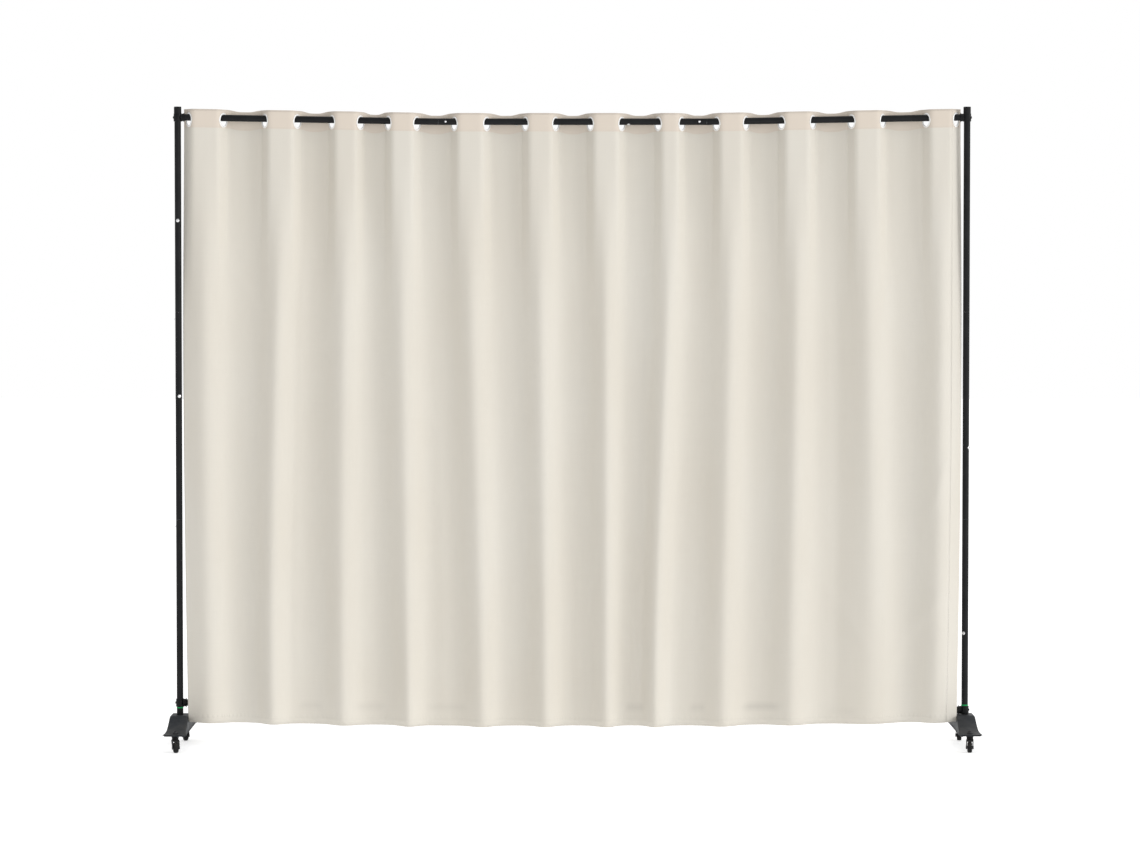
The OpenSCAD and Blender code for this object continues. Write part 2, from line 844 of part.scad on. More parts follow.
left_section(saddle_z, low_seam_z);  // left_post_bottom
left_section(low_seam_z, high_seam_z);  // left_post_middle
left_section(high_seam_z, wall_h - cap_top);  // left_post_top
right_section(saddle_z, low_seam_z);  // right_post_bottom
right_section(low_seam_z, high_seam_z);  // right_post_middle
right_section(high_seam_z, wall_h - cap_top);  // right_post_top
post_caps();
top_bar_outer(LEFT);  // top_bar_left
top_bar_middle();
top_bar_outer(RIGHT);  // top_bar_right
low_bar_outer(LEFT);  // low_bar_left
low_bar_middle();
low_bar_outer(RIGHT);  // low_bar_right
tee(LEFT, top_bar_z);  // top_left_tee
tee(RIGHT, top_bar_z);  // top_right_tee
tee(LEFT, low_bar_left_z);  // low_left_tee
tee(RIGHT, low_bar_right_z);  // low_right_tee
foot_plate(LEFT);  // left_foot_plate
foot_plate(RIGHT);  // right_foot_plate
foot_saddle(LEFT);  // left_foot_saddle
foot_saddle(RIGHT);  // right_foot_saddle
foot_stubs();
foot_bolts();
post_sleeves();
bar_sleeves();
lock_screws();
tee_set_screws();
caster_stems();
stem_nuts();
height_rings();
button_springs();
curtain_heading();
curtain_drop();
curtain_eyelets();
leading_edge();
leading_eyelet();
at_post_button(LEFT, low_seam_z) snap_button();  // button_left_low
at_post_button(LEFT, high_seam_z) snap_button();  // button_left_high
at_post_button(RIGHT, low_seam_z) snap_button();  // button_right_low
at_post_button(RIGHT, high_seam_z) snap_button();  // button_right_high
at_top_button(LEFT) snap_button();  // button_top_bar_left
at_top_button(RIGHT) snap_button();  // button_top_bar_right
at_low_button(LEFT) snap_button();  // button_low_bar_left
at_low_button(RIGHT) snap_button();  // button_low_bar_right
fork(LEFT, FRONT, true);  // fork_front_left
fork(RIGHT, FRONT, true);  // fork_front_right
fork(LEFT, BACK, false);  // fork_back_left
fork(RIGHT, BACK, false);  // fork_back_right
axle(LEFT, FRONT, true);  // axle_front_left
axle(RIGHT, FRONT, true);  // axle_front_right
axle(LEFT, BACK, false);  // axle_back_left
axle(RIGHT, BACK, false);  // axle_back_right
wheel(LEFT, FRONT);  // wheel_front_left
wheel(RIGHT, FRONT);  // wheel_front_right
wheel(LEFT, BACK);  // wheel_back_left
wheel(RIGHT, BACK);  // wheel_back_right
pedal(LEFT);  // pedal_front_left
pedal(RIGHT);  // pedal_front_right
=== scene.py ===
"""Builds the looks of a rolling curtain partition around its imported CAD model.

Laid out as a Blender add-on and run as a script. X runs along the wall, the front faces -Y and Z is
up. Lengths are in metres, but the outlines given to lathe, prism and block are in millimetres.
"""

import json
import math
from functools import lru_cache

import bmesh
import bpy
from bpy.props import FloatProperty, FloatVectorProperty, IntProperty, PointerProperty
from bpy.types import Operator, Panel, PropertyGroup
from mathutils import Matrix, Vector, noise


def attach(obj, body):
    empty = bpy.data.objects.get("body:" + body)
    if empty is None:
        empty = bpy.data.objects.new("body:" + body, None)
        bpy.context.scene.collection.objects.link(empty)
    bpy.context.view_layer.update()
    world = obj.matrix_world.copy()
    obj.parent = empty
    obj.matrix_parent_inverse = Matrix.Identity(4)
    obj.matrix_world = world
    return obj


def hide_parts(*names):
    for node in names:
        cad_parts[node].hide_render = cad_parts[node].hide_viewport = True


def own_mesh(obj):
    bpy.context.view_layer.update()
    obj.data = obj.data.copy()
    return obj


bl_info = {
    "name": "Rolling curtain partition",
    "version": (1, 0, 0),
    "blender": (4, 5, 0),
    "location": "View3D > Sidebar > Partition",
    "description": "Cloth, castings, feet, casters and finishes around the partition's CAD frame",
    "category": "Object",
}

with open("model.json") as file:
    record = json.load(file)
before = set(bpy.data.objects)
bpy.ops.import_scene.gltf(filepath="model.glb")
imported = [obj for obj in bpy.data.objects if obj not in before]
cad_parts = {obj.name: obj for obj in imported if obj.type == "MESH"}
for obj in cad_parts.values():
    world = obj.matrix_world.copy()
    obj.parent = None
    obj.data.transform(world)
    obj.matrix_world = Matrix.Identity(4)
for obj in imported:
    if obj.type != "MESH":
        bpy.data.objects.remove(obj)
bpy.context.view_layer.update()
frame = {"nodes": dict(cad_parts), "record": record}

MM = 0.001
FRONT, BACK = -1, 1
LEFT, RIGHT = -1, 1
SIDES = ((LEFT, "left"), (RIGHT, "right"))
ENDS = ((FRONT, "front"), (BACK, "back"))
TURN = math.tau
MERGE = 1e-6

# ---------- the frame's sizes, as the CAD model has them ----------

POST_X = 1500 * MM
TOP_BAR_Z = 2399 * MM
BAR_SAG = 16 * MM
SEAM_X = 510 * MM
PIVOT_X = 1453.5 * MM
LOW_LEFT_Z = 168 * MM
LOW_RIGHT_Z = 139.5 * MM
PLATE_LOW = 64 * MM
PLATE_TOP = 67 * MM
SADDLE_TOP = 122 * MM
SADDLE_FLAT = 46 * MM  # half the level length on top
SADDLE_TIP = 222 * MM  # from the post to either end of the flared skirt
SADDLE_HALF = 35 * MM
SADDLE_WALL = 2 * MM
SHOULDER = 8 * MM
LIP = 2.2 * MM
CASTER_Y = 190 * MM
YAW = {LEFT: math.radians(15), RIGHT: math.radians(-8)}
TRAIL = 14 * MM
WHEEL_R = 20 * MM
PEDAL_PIN = (-13 * MM, 45.5 * MM)

# ---------- the curtain's sizes ----------

FOLD_SHARES = (134, 160, 126, 134, 111, 107, 111, 145, 126, 149, 118, 134,
               122, 141, 92, 134, 115, 137, 122, 149, 122, 168, 115)
FOLDS = len(FOLD_SHARES)
END_EYELET_X = 1457.5 * MM
SIDE_EDGE_X = 1478 * MM
LEAD_X = END_EYELET_X - 17 * MM
LEAD_GAP = 0.5 * MM
EYELET_HANG = 8.7 * MM
HEAD_UP = 32 * MM
HEAD_DOWN = 38 * MM
FOLD_Y = 27 * MM  # how far the heading swings in front of and behind the bar
RAMP_SLOPE = math.tan(math.radians(60))
RAMP_STRAIGHT = 9.5 * MM  # half the straight part of the crossing
RAMP_ROUND = 2 * (FOLD_Y - RAMP_SLOPE * RAMP_STRAIGHT) / RAMP_SLOPE
HOLE_R = 24.8 * MM
HEM_BACK_Y = -23.5 * MM  # where the back panels end up at the hem
LOW_BAR_CLEAR = 18.5 * MM  # the cloth's least distance from the lower bar's axis
SIDE_BELLY = 9 * MM  # how far the side edges swell outwards half way down
SIDE_DRAWN = 13 * MM  # how far they have drawn in at the hem
RUN_STEP = 0.5 * MM
TURNED_BACK = 0.9 * MM  # how far the tape and the turned hem lie behind the cloth
CLOTH_THICKNESS = 0.6 * MM

# Each front fold as it hangs, in millimetres: how far its crest wanders sideways down
# to the hem, and half the distance between its two flanks at mid height and the hem.
RIDGES = ((0, 50, 50), (-42, 40, 36), (-19, 44, 40), (17, 42, 31), (40, 44, 39), (17, 40, 36),
          (2, 36, 34), (-53, 35, 30), (-27, 42, 42), (-15, 41, 46), (25, 50, 70), (-6, 42, 46))
# Lesser folds in the back panels: place along the wall in metres, depth and half width
# in millimetres, and the share of the drop over which each shows, from the top.
SMALL_FOLDS = ((-1.020, 4.0, 15, 0.0, 0.95), (-0.775, 2.6, 14, 0.45, 0.9),
               (-0.520, 3.0, 15, 0.5, 1.0), (-0.010, -3.5, 14, 0.7, 1.0),
               (1.006, -4.0, 16, 0.2, 0.95), (0.275, 4.5, 14, 0.72, 1.0),
               (1.290, -2.0, 18, 0.0, 0.1))
# Slack creases: start and end (x, z) in metres, depth and half width in millimetres.
CREASES = (((-1.45, 2.05), (-1.20, 1.70), 2.6, 26), ((-1.46, 1.60), (-1.30, 1.38), 2.0, 24),
           ((1.44, 0.62), (1.18, 0.30), 3.2, 30), ((1.45, 1.16), (1.36, 0.88), 3.4, 18),
           ((0.24, 0.50), (0.36, 0.16), 3.6, 18), ((-1.45, 0.52), (-1.24, 0.26), 2.2, 28),
           ((0.95, 0.66), (1.12, 0.34), 2.2, 26), ((-0.10, 2.20), (0.06, 2.02), 1.2, 24),
           ((-1.30, 0.86), (-1.38, 0.30), 1.8, 30), ((1.28, 2.10), (1.42, 1.86), 2.0, 22))
# Where the cloth lies on the lower crossbar, the bar's shadow seen through the cloth is painted:
# centre and half width in metres, darkness.
BAR_SHADOWS = ((-0.998, 0.045, 0.55), (-0.773, 0.055, 0.7), (-0.477, 0.078, 1.0),
             (0.238, 0.035, 0.55), (0.476, 0.030, 0.45), (0.722, 0.072, 0.9), (1.008, 0.070, 0.75))


# ---------- small helpers ----------

def mix(a, b, share):
    return a + (b - a) * share


def smooth(low, high, value):
    """Rises from 0 at low to 1 at high, level at both ends."""
    share = min(1.0, max(0.0, (value - low) / (high - low)))
    return share * share * (3 - 2 * share)


@lru_cache(maxsize=None)
def bar_z(x):
    """Height of the upper crossbar's axis, which sags in three straight runs."""
    return TOP_BAR_Z - BAR_SAG * min(1.0, (PIVOT_X - abs(x)) / (PIVOT_X - SEAM_X))


def low_z(x):
    """Height of the lower crossbar's axis."""
    return mix(LOW_LEFT_Z, LOW_RIGHT_Z, (x + PIVOT_X) / (2 * PIVOT_X))


def settings():
    return bpy.context.scene.partition


@lru_cache(maxsize=None)
def setting(name):
    return getattr(settings(), name)


def link(name, data):
    made = bpy.data.objects.new(name, data)
    bpy.context.scene.collection.objects.link(made)
    return made


def to_piece(bm, name, material):
    """Turns a bmesh into a named object at the origin, with faces outwards."""
    bmesh.ops.recalc_face_normals(bm, faces=bm.faces)
    mesh = bpy.data.meshes.new(name)
    bm.to_mesh(mesh)
    bm.free()
    mesh.shade_smooth()
    mesh.materials.append(material)
    return link(name, mesh)


def finish(bm, name, material, crease=32):
    """Makes a hard piece: doubles merged, and edges sharp from an angle in degrees."""
    bmesh.ops.remove_doubles(bm, verts=bm.verts, dist=MERGE)
    made = to_piece(bm, name, material)
    made.data.set_sharp_from_angle(angle=math.radians(crease))
    return made


def settle(piece, body, stands_for=None):
    """Ties a piece to its body, and hides the CAD node it stands for."""
    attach(piece, body)
    if stands_for:
        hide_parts(stands_for)


def add_shape(bm, shape, place):
    """Puts a shape built on its own into a piece, at its place."""
    bmesh.ops.recalc_face_normals(shape, faces=shape.faces)
    bmesh.ops.transform(shape, matrix=place, verts=shape.verts)
    carrier = bpy.data.meshes.new("carrier")
    shape.to_mesh(carrier)
    shape.free()
    bm.from_mesh(carrier)
    bpy.data.meshes.remove(carrier)


def lathe(bm, profile, place, steps=40, closed=True):
    """Spins an outline of (radius, height) points about the place's own Z."""
    shape = bmesh.new()
    corners = [shape.verts.new((r * MM, 0, z * MM)) for r, z in profile]
    pairs = list(zip(corners, corners[1:] + corners[:1]))
    if not closed:
        pairs = pairs[:-1]
    edges = [shape.edges.new(pair) for pair in pairs]
    bmesh.ops.spin(shape, geom=corners + edges, cent=(0, 0, 0), axis=(0, 0, 1),
                   angle=TURN, steps=steps, use_merge=True)
    bmesh.ops.remove_doubles(shape, verts=shape.verts, dist=MERGE)
    add_shape(bm, shape, place)


def prism(bm, outline, depth, place, bevel=0.0, segments=2):
    """Extrudes a flat outline of (x, y) points along the place's Z by depth."""
    shape = bmesh.new()
    face = shape.faces.new([shape.verts.new((x * MM, y * MM, 0)) for x, y in outline])
    grown = bmesh.ops.extrude_face_region(shape, geom=[face])["geom"]
    lifted = [v for v in grown if isinstance(v, bmesh.types.BMVert)]
    bmesh.ops.translate(shape, vec=(0, 0, depth * MM), verts=lifted)
    bmesh.ops.recalc_face_normals(shape, faces=shape.faces)
    if bevel:
        edges = [e for e in shape.edges if e.calc_face_angle(0) > 0.6]
        bmesh.ops.bevel(shape, geom=edges, offset=bevel * MM, offset_type="OFFSET",
                        affect="EDGES", segments=segments, profile=0.5, material=-1,
                        clamp_overlap=True)
    add_shape(bm, shape, place)


def block(bm, size, centre, place, bevel=0.0, segments=2):
    """A box with rounded edges, around a centre in the place's own axes."""
    w, d, h = (length / 2 for length in size)
    base = at(centre[0] * MM, centre[1] * MM, (centre[2] - h) * MM)
    prism(bm, ((-w, -d), (w, -d), (w, d), (-w, d)), 2 * h, place @ base, bevel, segments)


def arc(cx, cy, r, start, end, steps):
    """Points round an arc, angles in degrees."""
    turns = [math.radians(mix(start, end, i / steps)) for i in range(steps + 1)]
    return [(cx + r * math.cos(t), cy + r * math.sin(t)) for t in turns]


def at(x=0.0, y=0.0, z=0.0):
    return Matrix.Translation((x, y, z))


def turned(degrees, axis):
    return Matrix.Rotation(math.radians(degrees), 4, axis)


def caster_place(side, end):
    return at(side * POST_X, end * CASTER_Y) @ Matrix.Rotation(YAW[side], 4, "Z")


ALONG_X = turned(90, "Y")
UPRIGHT_ALONG_Y = Matrix(((0, 0, 1, 0), (1, 0, 0, 0), (0, 1, 0, 0), (0, 0, 0, 1)))


# ---------- shader groups ----------

def group(made, name, values, masks):
    """A new shader node group: a vector and named values go in, and masks come out.

    Returns (tree, its input's sockets, its output's sockets).
    """
    tree = made[name] = bpy.data.node_groups.new(name, "ShaderNodeTree")
    tree.interface.new_socket("Vector", in_out="INPUT", socket_type="NodeSocketVector")
    for label, value in values.items():
        socket = tree.interface.new_socket(label, in_out="INPUT", socket_type="NodeSocketFloat")
        socket.default_value = value
    for label in masks:
        tree.interface.new_socket(label, in_out="OUTPUT", socket_type="NodeSocketFloat")
    given, out = tree.nodes.new("NodeGroupInput"), tree.nodes.new("NodeGroupOutput")
    return tree, given.outputs, out.inputs


def wire(tree, source, target):
    tree.links.new(source, target)


def calc(tree, operation, *values, clamp=False):
    """A Math node; each value is a number or a socket. Returns its output."""
    node = tree.nodes.new("ShaderNodeMath")
    node.operation = operation
    node.use_clamp = clamp
    for slot, value in zip(node.inputs, values):
        if isinstance(value, bpy.types.NodeSocket):
            wire(tree, value, slot)
        else:
            slot.default_value = value
    return node.outputs[0]


def times(tree, a, b, clamp=False):
    return calc(tree, "MULTIPLY", a, b, clamp=clamp)


def plus(tree, a, b):
    return calc(tree, "ADD", a, b)


def minus(tree, a, b):
    return calc(tree, "SUBTRACT", a, b)


def apart_from(tree, a, b):
    """The distance between two values."""
    return calc(tree, "ABSOLUTE", minus(tree, a, b))


def separated(tree, vector):
    node = tree.nodes.new("ShaderNodeSeparateXYZ")
    wire(tree, vector, node.inputs[0])
    return node.outputs


def attribute(tree, name):
    node = tree.nodes.new("ShaderNodeAttribute")
    node.attribute_name = name
    return node.outputs["Fac"]


def blend_colour(tree, share, first, second, mode="MIX"):
    """A colour Mix node; share, first and second are values or sockets."""
    node = tree.nodes.new("ShaderNodeMix")
    node.data_type = "RGBA"
    node.blend_type = mode
    for slot, value in zip((node.inputs[0], node.inputs[6], node.inputs[7]),
                           (share, first, second)):
        if isinstance(value, bpy.types.NodeSocket):
            wire(tree, value, slot)
        elif slot.type == "RGBA":
            slot.default_value = (*value[:3], 1)
        else:
            slot.default_value = value
    return node.outputs[2]


def remap(tree, value, low, high, to_low=0.0, to_high=1.0):
    node = tree.nodes.new("ShaderNodeMapRange")
    wire(tree, value, node.inputs[0])
    for slot, number in zip(node.inputs[1:5], (low, high, to_low, to_high)):
        slot.default_value = number
    return node.outputs[0]


def noise_at(tree, vector, scale, detail=3.0, roughness=0.55, stretch=None):
    if stretch:
        mapping = tree.nodes.new("ShaderNodeMapping")
        mapping.inputs["Scale"].default_value = stretch
        wire(tree, vector, mapping.inputs["Vector"])
        vector = mapping.outputs[0]
    node = tree.nodes.new("ShaderNodeTexNoise")
    node.inputs["Detail"].default_value = detail
    node.inputs["Roughness"].default_value = roughness
    wire(tree, vector, node.inputs["Vector"])
    if isinstance(scale, bpy.types.NodeSocket):
        wire(tree, scale, node.inputs["Scale"])
    else:
        node.inputs["Scale"].default_value = scale
    return node.outputs[0]


def make_groups():
    """The effects that several finishes share."""
    made = {}

    tree, given, out = group(made, "edge_wear", {"Width": 0.0012, "Breakup": 60.0}, ["Mask"])
    bevel = tree.nodes.new("ShaderNodeBevel")
    bevel.samples = 4
    wire(tree, given["Width"], bevel.inputs["Radius"])
    geometry = tree.nodes.new("ShaderNodeNewGeometry")
    dot = tree.nodes.new("ShaderNodeVectorMath")
    dot.operation = "DOT_PRODUCT"
    wire(tree, bevel.outputs[0], dot.inputs[0])
    wire(tree, geometry.outputs["Normal"], dot.inputs[1])
    edge = remap(tree, dot.outputs["Value"], 0.995, 0.90)
    chips = noise_at(tree, given["Vector"], given["Breakup"], 5.0, 0.65)
    wire(tree, times(tree, edge, remap(tree, chips, 0.48, 0.62), clamp=True), out["Mask"])

    tree, given, out = group(made, "settled_dust", {"Scale": 9.0}, ["Mask"])
    geometry = tree.nodes.new("ShaderNodeNewGeometry")
    upward = remap(tree, separated(tree, geometry.outputs["Normal"])["Z"], 0.2, 0.95)
    patchy = noise_at(tree, given["Vector"], given["Scale"], 6.0, 0.7)
    wire(tree, times(tree, upward, remap(tree, patchy, 0.35, 0.75), clamp=True), out["Mask"])

    tree, given, out = group(made, "fine_grain", {"Scale": 900.0}, ["Height", "Tone"])
    wire(tree, noise_at(tree, given["Vector"], given["Scale"], 2.0, 0.5), out["Height"])
    wire(tree, noise_at(tree, given["Vector"], 14.0, 4.0, 0.6), out["Tone"])

    tree, given, out = group(made, "plain_weave", {"Thread": 0.0005}, ["Height", "Slub"])
    flat = separated(tree, given["Vector"])
    turn = calc(tree, "DIVIDE", math.pi, given["Thread"])
    warp = calc(tree, "SINE", times(tree, flat["X"], turn))
    weft = calc(tree, "SINE", times(tree, flat["Y"], turn))
    over = calc(tree, "GREATER_THAN", times(tree, warp, weft), 0.0)
    under = minus(tree, 1.0, over)
    wire(tree, plus(tree, times(tree, over, calc(tree, "ABSOLUTE", warp)),
                    times(tree, under, calc(tree, "ABSOLUTE", weft))), out["Height"])
    upright = noise_at(tree, given["Vector"], 1.0, 2.0, 0.5, (420, 5, 1))
    level = noise_at(tree, given["Vector"], 1.0, 2.0, 0.5, (4, 380, 1))
    wire(tree, times(tree, plus(tree, upright, level), 0.5), out["Slub"])

    tree, given, out = group(made, "stitch_line", {"Line": 0.0, "Pitch": 0.004, "Width": 0.0007},
                             ["Thread", "GrooveAndShade"])
    flat = separated(tree, given["Vector"])
    away = apart_from(tree, flat["Y"], given["Line"])
    near = calc(tree, "LESS_THAN", away, given["Width"])
    phase = calc(tree, "FRACT", calc(tree, "DIVIDE", flat["X"], given["Pitch"]))
    wire(tree, times(tree, near, calc(tree, "LESS_THAN", phase, 0.68)), out["Thread"])
    # the groove mask, a bump along the seam that the cloth also uses for painted shade
    wire(tree, remap(tree, away, 0.0035, 0.0), out["GrooveAndShade"])
    return made


def place_group(tree, groups, name, vector, **values):
    node = tree.nodes.new("ShaderNodeGroup")
    node.node_tree = groups[name]
    wire(tree, vector, node.inputs["Vector"])
    for label, value in values.items():
        node.inputs[label].default_value = value
    return node.outputs


# ---------- finishes ----------

SCUFF_GREY = (0.20, 0.205, 0.21)
DUST_COLOUR = (0.33, 0.31, 0.28)
# grey of the painted shadow that the lower crossbar casts through the cloth
BAR_SHADOW_GREY = (0.16, 0.15, 0.15)
PUCKER_PITCH = 19 * MM
FINISHES = {}


def bare_material(name, colour, roughness, metallic=0.0, **constants):
    """A material with its Principled shader's plain values set; returns (material, tree, shader)."""
    material = bpy.data.materials.new(name)
    material.use_nodes = True
    tree = material.node_tree
    shader = tree.nodes["Principled BSDF"]
    shader.inputs["Base Color"].default_value = (*colour, 1)
    shader.inputs["Roughness"].default_value = roughness
    shader.inputs["Metallic"].default_value = metallic
    for label, value in constants.items():
        shader.inputs[label.replace("_", " ")].default_value = value
    material.diffuse_color = (*colour, 1)
    return material, tree, shader


def object_vector(tree):
    return tree.nodes.new("ShaderNodeTexCoord").outputs["Object"]


def surface(tree, shader, colour, roughness, height, strength, distance):
    """Feeds a finish's colour, roughness and bump to its shader."""
    wire(tree, colour, shader.inputs["Base Color"])
    wire(tree, roughness, shader.inputs["Roughness"])
    bump = tree.nodes.new("ShaderNodeBump")
    bump.inputs["Strength"].default_value = strength
    bump.inputs["Distance"].default_value = distance
    wire(tree, height, bump.inputs["Height"])
    wire(tree, bump.outputs[0], shader.inputs["Normal"])


def scaled(colour, *factors):
    """A colour times one factor, or one for each channel."""
    return tuple(c * k for c, k in zip(colour, factors * 3))


def coated(groups, name, colour, roughness, worn, dust, grain, depth, wear=0.0012, **constants):
    """Powder coat, moulded plastic or cast finish: grain, tone, worn edges and dust."""
    material, tree, shader = bare_material(
        name, colour, roughness, Specular_IOR_Level=0.13, **constants)
    vector = object_vector(tree)
    fine = place_group(tree, groups, "fine_grain", vector, Scale=grain)
    edges = place_group(tree, groups, "edge_wear", vector, Width=wear)
    dusty = place_group(tree, groups, "settled_dust", vector)
    lighter = tuple(min(1.0, c * 1.35 + 0.004) for c in colour)
    toned = blend_colour(tree, remap(tree, fine["Tone"], 0.3, 0.7), colour, lighter)
    scuffed = blend_colour(tree, times(tree, edges["Mask"], worn), toned, SCUFF_GREY)
    topped = blend_colour(tree, times(tree, dusty["Mask"], dust), scuffed, DUST_COLOUR)
    rough = remap(tree, fine["Tone"], 0.25, 0.75, roughness - 0.06, roughness + 0.1)
    surface(tree, shader, topped, rough, fine["Height"], 0.5, depth)
    return material


def plated(groups, name, colour, roughness, stretch=(40, 40, 900)):
    """Bright or zinc plate: fine drawn lines and uneven polish."""
    material, tree, shader = bare_material(name, colour, roughness, 1.0)
    vector = object_vector(tree)
    lines = noise_at(tree, vector, 1.0, 3.0, 0.6, stretch)
    fine = place_group(tree, groups, "fine_grain", vector, Scale=260.0)
    toned = blend_colour(tree, remap(tree, fine["Tone"], 0.35, 0.7), colour, scaled(colour, 0.72))
    rough = remap(tree, lines, 0.3, 0.7, roughness - 0.05, roughness + 0.12)
    surface(tree, shader, toned, rough, lines, 0.25, 0.00005)
    return material


def ring_material(groups):
    """Pale satin plating of the snap-in rings."""
    colour = tuple(settings().ring_colour)
    material, tree, shader = bare_material(
        "eyelet_ring", colour, 0.28, 0.1, Coat_Weight=0.4, Coat_Roughness=0.2)
    vector = object_vector(tree)
    fine = place_group(tree, groups, "fine_grain", vector, Scale=500.0)
    dusty = place_group(tree, groups, "settled_dust", vector, Scale=30.0)
    toned = blend_colour(tree, remap(tree, fine["Tone"], 0.35, 0.7), colour, scaled(colour, 0.96))
    topped = blend_colour(tree, times(tree, dusty["Mask"], 0.06), toned, (0.45, 0.42, 0.38))
    rough = remap(tree, fine["Tone"], 0.3, 0.7, 0.22, 0.36)
    surface(tree, shader, topped, rough, fine["Height"], 0.3, 0.00003)
    return material


def cloth_material(groups, name, with_heading, with_hem):
    """Cream plain-weave cloth, read from the piece's own flat measure in metres.

    Its map's X runs along the cloth and its Y is the height above the bar's axis.
    """
    look = settings()
    cloth = tuple(look.cloth_colour)
    material, tree, shader = bare_material(
        name, cloth, 0.88, Sheen_Weight=0.12, Sheen_Roughness=0.45, Specular_IOR_Level=0.22)
    flat_map = tree.nodes.new("ShaderNodeUVMap")
    flat_map.uv_map = "flat"
    vector = flat_map.outputs[0]
    flat = separated(tree, vector)
    weave = place_group(tree, groups, "plain_weave", vector, Thread=look.thread_pitch)
    broad = noise_at(tree, vector, 1.0, 4.0, 0.6, (2.2, 0.8, 1))
    slub = remap(tree, weave["Slub"], 0.3, 0.7, -1.0, 1.0)
    colour = blend_colour(
        tree, remap(tree, broad, 0.3, 0.7), cloth, scaled(cloth, 0.965, 0.95, 0.93))
    tone = plus(tree, 1.0, times(tree, slub, 0.014))
    height = times(tree, weave["Height"], 0.12)
    height = plus(tree, height, times(tree, slub, 0.05))
    if with_heading:
        band = remap(tree, flat["Y"], -HEAD_DOWN - 0.001, -HEAD_DOWN + 0.001)
        colour = blend_colour(tree, band, colour, tuple(look.heading_colour))
        for line in (-HEAD_DOWN + 0.003, HEAD_UP - 0.004):
            seam = place_group(tree, groups, "stitch_line", vector, Line=line, Pitch=0.0042)
            # painted shade along each seam's groove
            tone = minus(tree, tone, times(tree, seam["GrooveAndShade"], 0.05))
            tone = plus(tree, tone, times(tree, seam["Thread"], 0.05))
            height = minus(tree, height, times(tree, seam["GrooveAndShade"], 0.6))
            height = plus(tree, height, times(tree, seam["Thread"], 0.5))
    if with_hem:
        above = attribute(tree, "hem_height")
        doubled = remap(tree, above, look.hem_fold + 0.0006, look.hem_fold - 0.0006)
        tone = minus(tree, tone, times(tree, doubled, 0.022))
        near = remap(tree, apart_from(tree, above, look.hem_fold), 0.010, 0.0)
        phase = calc(tree, "FRACT", calc(tree, "DIVIDE", flat["X"], PUCKER_PITCH))
        dent = remap(tree, apart_from(tree, phase, 0.5), 0.34, 0.0)
        dents_and_shade = times(tree, times(tree, near, dent), attribute(tree, "pucker"))
        # the dents bump the hem at its stitch puckers, and the same mask paints shade into them
        height = minus(tree, height, times(tree, dents_and_shade, 2.6))
        tone = minus(tree, tone, times(tree, dents_and_shade, 0.035))
        # painted shadow of the lower crossbar, darkening the cloth where it lies on the bar
        bar_shade = times(tree, attribute(tree, "bar_shadow"), look.bar_shadow_strength)
        colour = blend_colour(tree, bar_shade, colour, BAR_SHADOW_GREY)
    shade = tree.nodes.new("ShaderNodeCombineColor")
    for slot in shade.inputs:
        wire(tree, tone, slot)
    shaded = blend_colour(tree, 1.0, colour, shade.outputs[0], "MULTIPLY")
    rough = remap(tree, weave["Slub"], 0.3, 0.7, 0.83, 0.93)
    surface(tree, shader, shaded, rough, height, 0.6, 0.0006)
    return material


def make_finishes():
    """Every finish, built once."""
    look = settings()
    groups = make_groups()
    coat = tuple(look.coat_colour)
    # Name, colour, roughness, worn edges, dust, scale of the grain and its depth.
    coats = (("tube_coat", coat, 0.42, 0.25, 0.05, 1400.0, 0.00003),
             ("tee_cast", scaled(coat, 0.75), 0.36, 0.35, 0.08, 700.0, 0.00008),
             ("cap_plastic", (0.007, 0.0072, 0.0078), 0.5, 0.12, 0.1, 1600.0, 0.00004),
             ("fork_plastic", (0.006, 0.006, 0.0065), 0.45, 0.2, 0.1, 1500.0, 0.00005),
             ("pedal_plastic", (0.009, 0.009, 0.0095), 0.5, 0.35, 0.12, 1300.0, 0.00006),
             ("wheel_tread", (0.007, 0.007, 0.007), 0.62, 0.12, 0.22, 800.0, 0.0001),
             ("wheel_core", (0.016, 0.016, 0.017), 0.5, 0.25, 0.2, 1300.0, 0.00005),
             ("ring_mark", tuple(look.band_colour), 0.45, 0.1, 0.03, 1000.0, 0.00003))
    for name, *values in coats:
        FINISHES[name] = coated(groups, name, *values)
    FINISHES["foot_coat"] = coated(groups, "foot_coat", tuple(look.foot_colour), 0.5, 0.3, 0.16,
                                   1100.0, 0.00008, wear=0.002)
    FINISHES["black_screw"] = coated(groups, "black_screw", (0.03, 0.03, 0.033), 0.38, 0.45, 0.08,
                                     1200.0, 0.00004, Metallic=0.6)
    plates = (("sleeve_zinc", (0.62, 0.63, 0.66), 0.36),
              ("axle_steel", (0.62, 0.62, 0.64), 0.3, (900, 60, 60)),
              ("screw_nickel", (0.80, 0.80, 0.81), 0.24),
              ("spring_steel", (0.42, 0.45, 0.52), 0.33),
              ("button_nickel", (0.83, 0.83, 0.85), 0.16))
    for name, *values in plates:
        FINISHES[name] = plated(groups, name, *values)
    FINISHES["eyelet_ring"] = ring_material(groups)
    FINISHES["curtain_cloth"] = cloth_material(groups, "curtain_cloth", True, True)
    FINISHES["heading_tape"] = cloth_material(groups, "heading_tape", True, False)
    FINISHES["hem_cloth"] = cloth_material(groups, "hem_cloth", False, False)


# ---------- the curtain's shape ----------

def eyelet_places():
    total = sum(FOLD_SHARES)
    return [-END_EYELET_X + 2 * END_EYELET_X * sum(FOLD_SHARES[:i]) / total
            for i in range(FOLDS + 1)]


EYELETS = eyelet_places()
CRESTS = [(EYELETS[i] + EYELETS[i + 1]) / 2 for i in range(0, FOLDS, 2)]


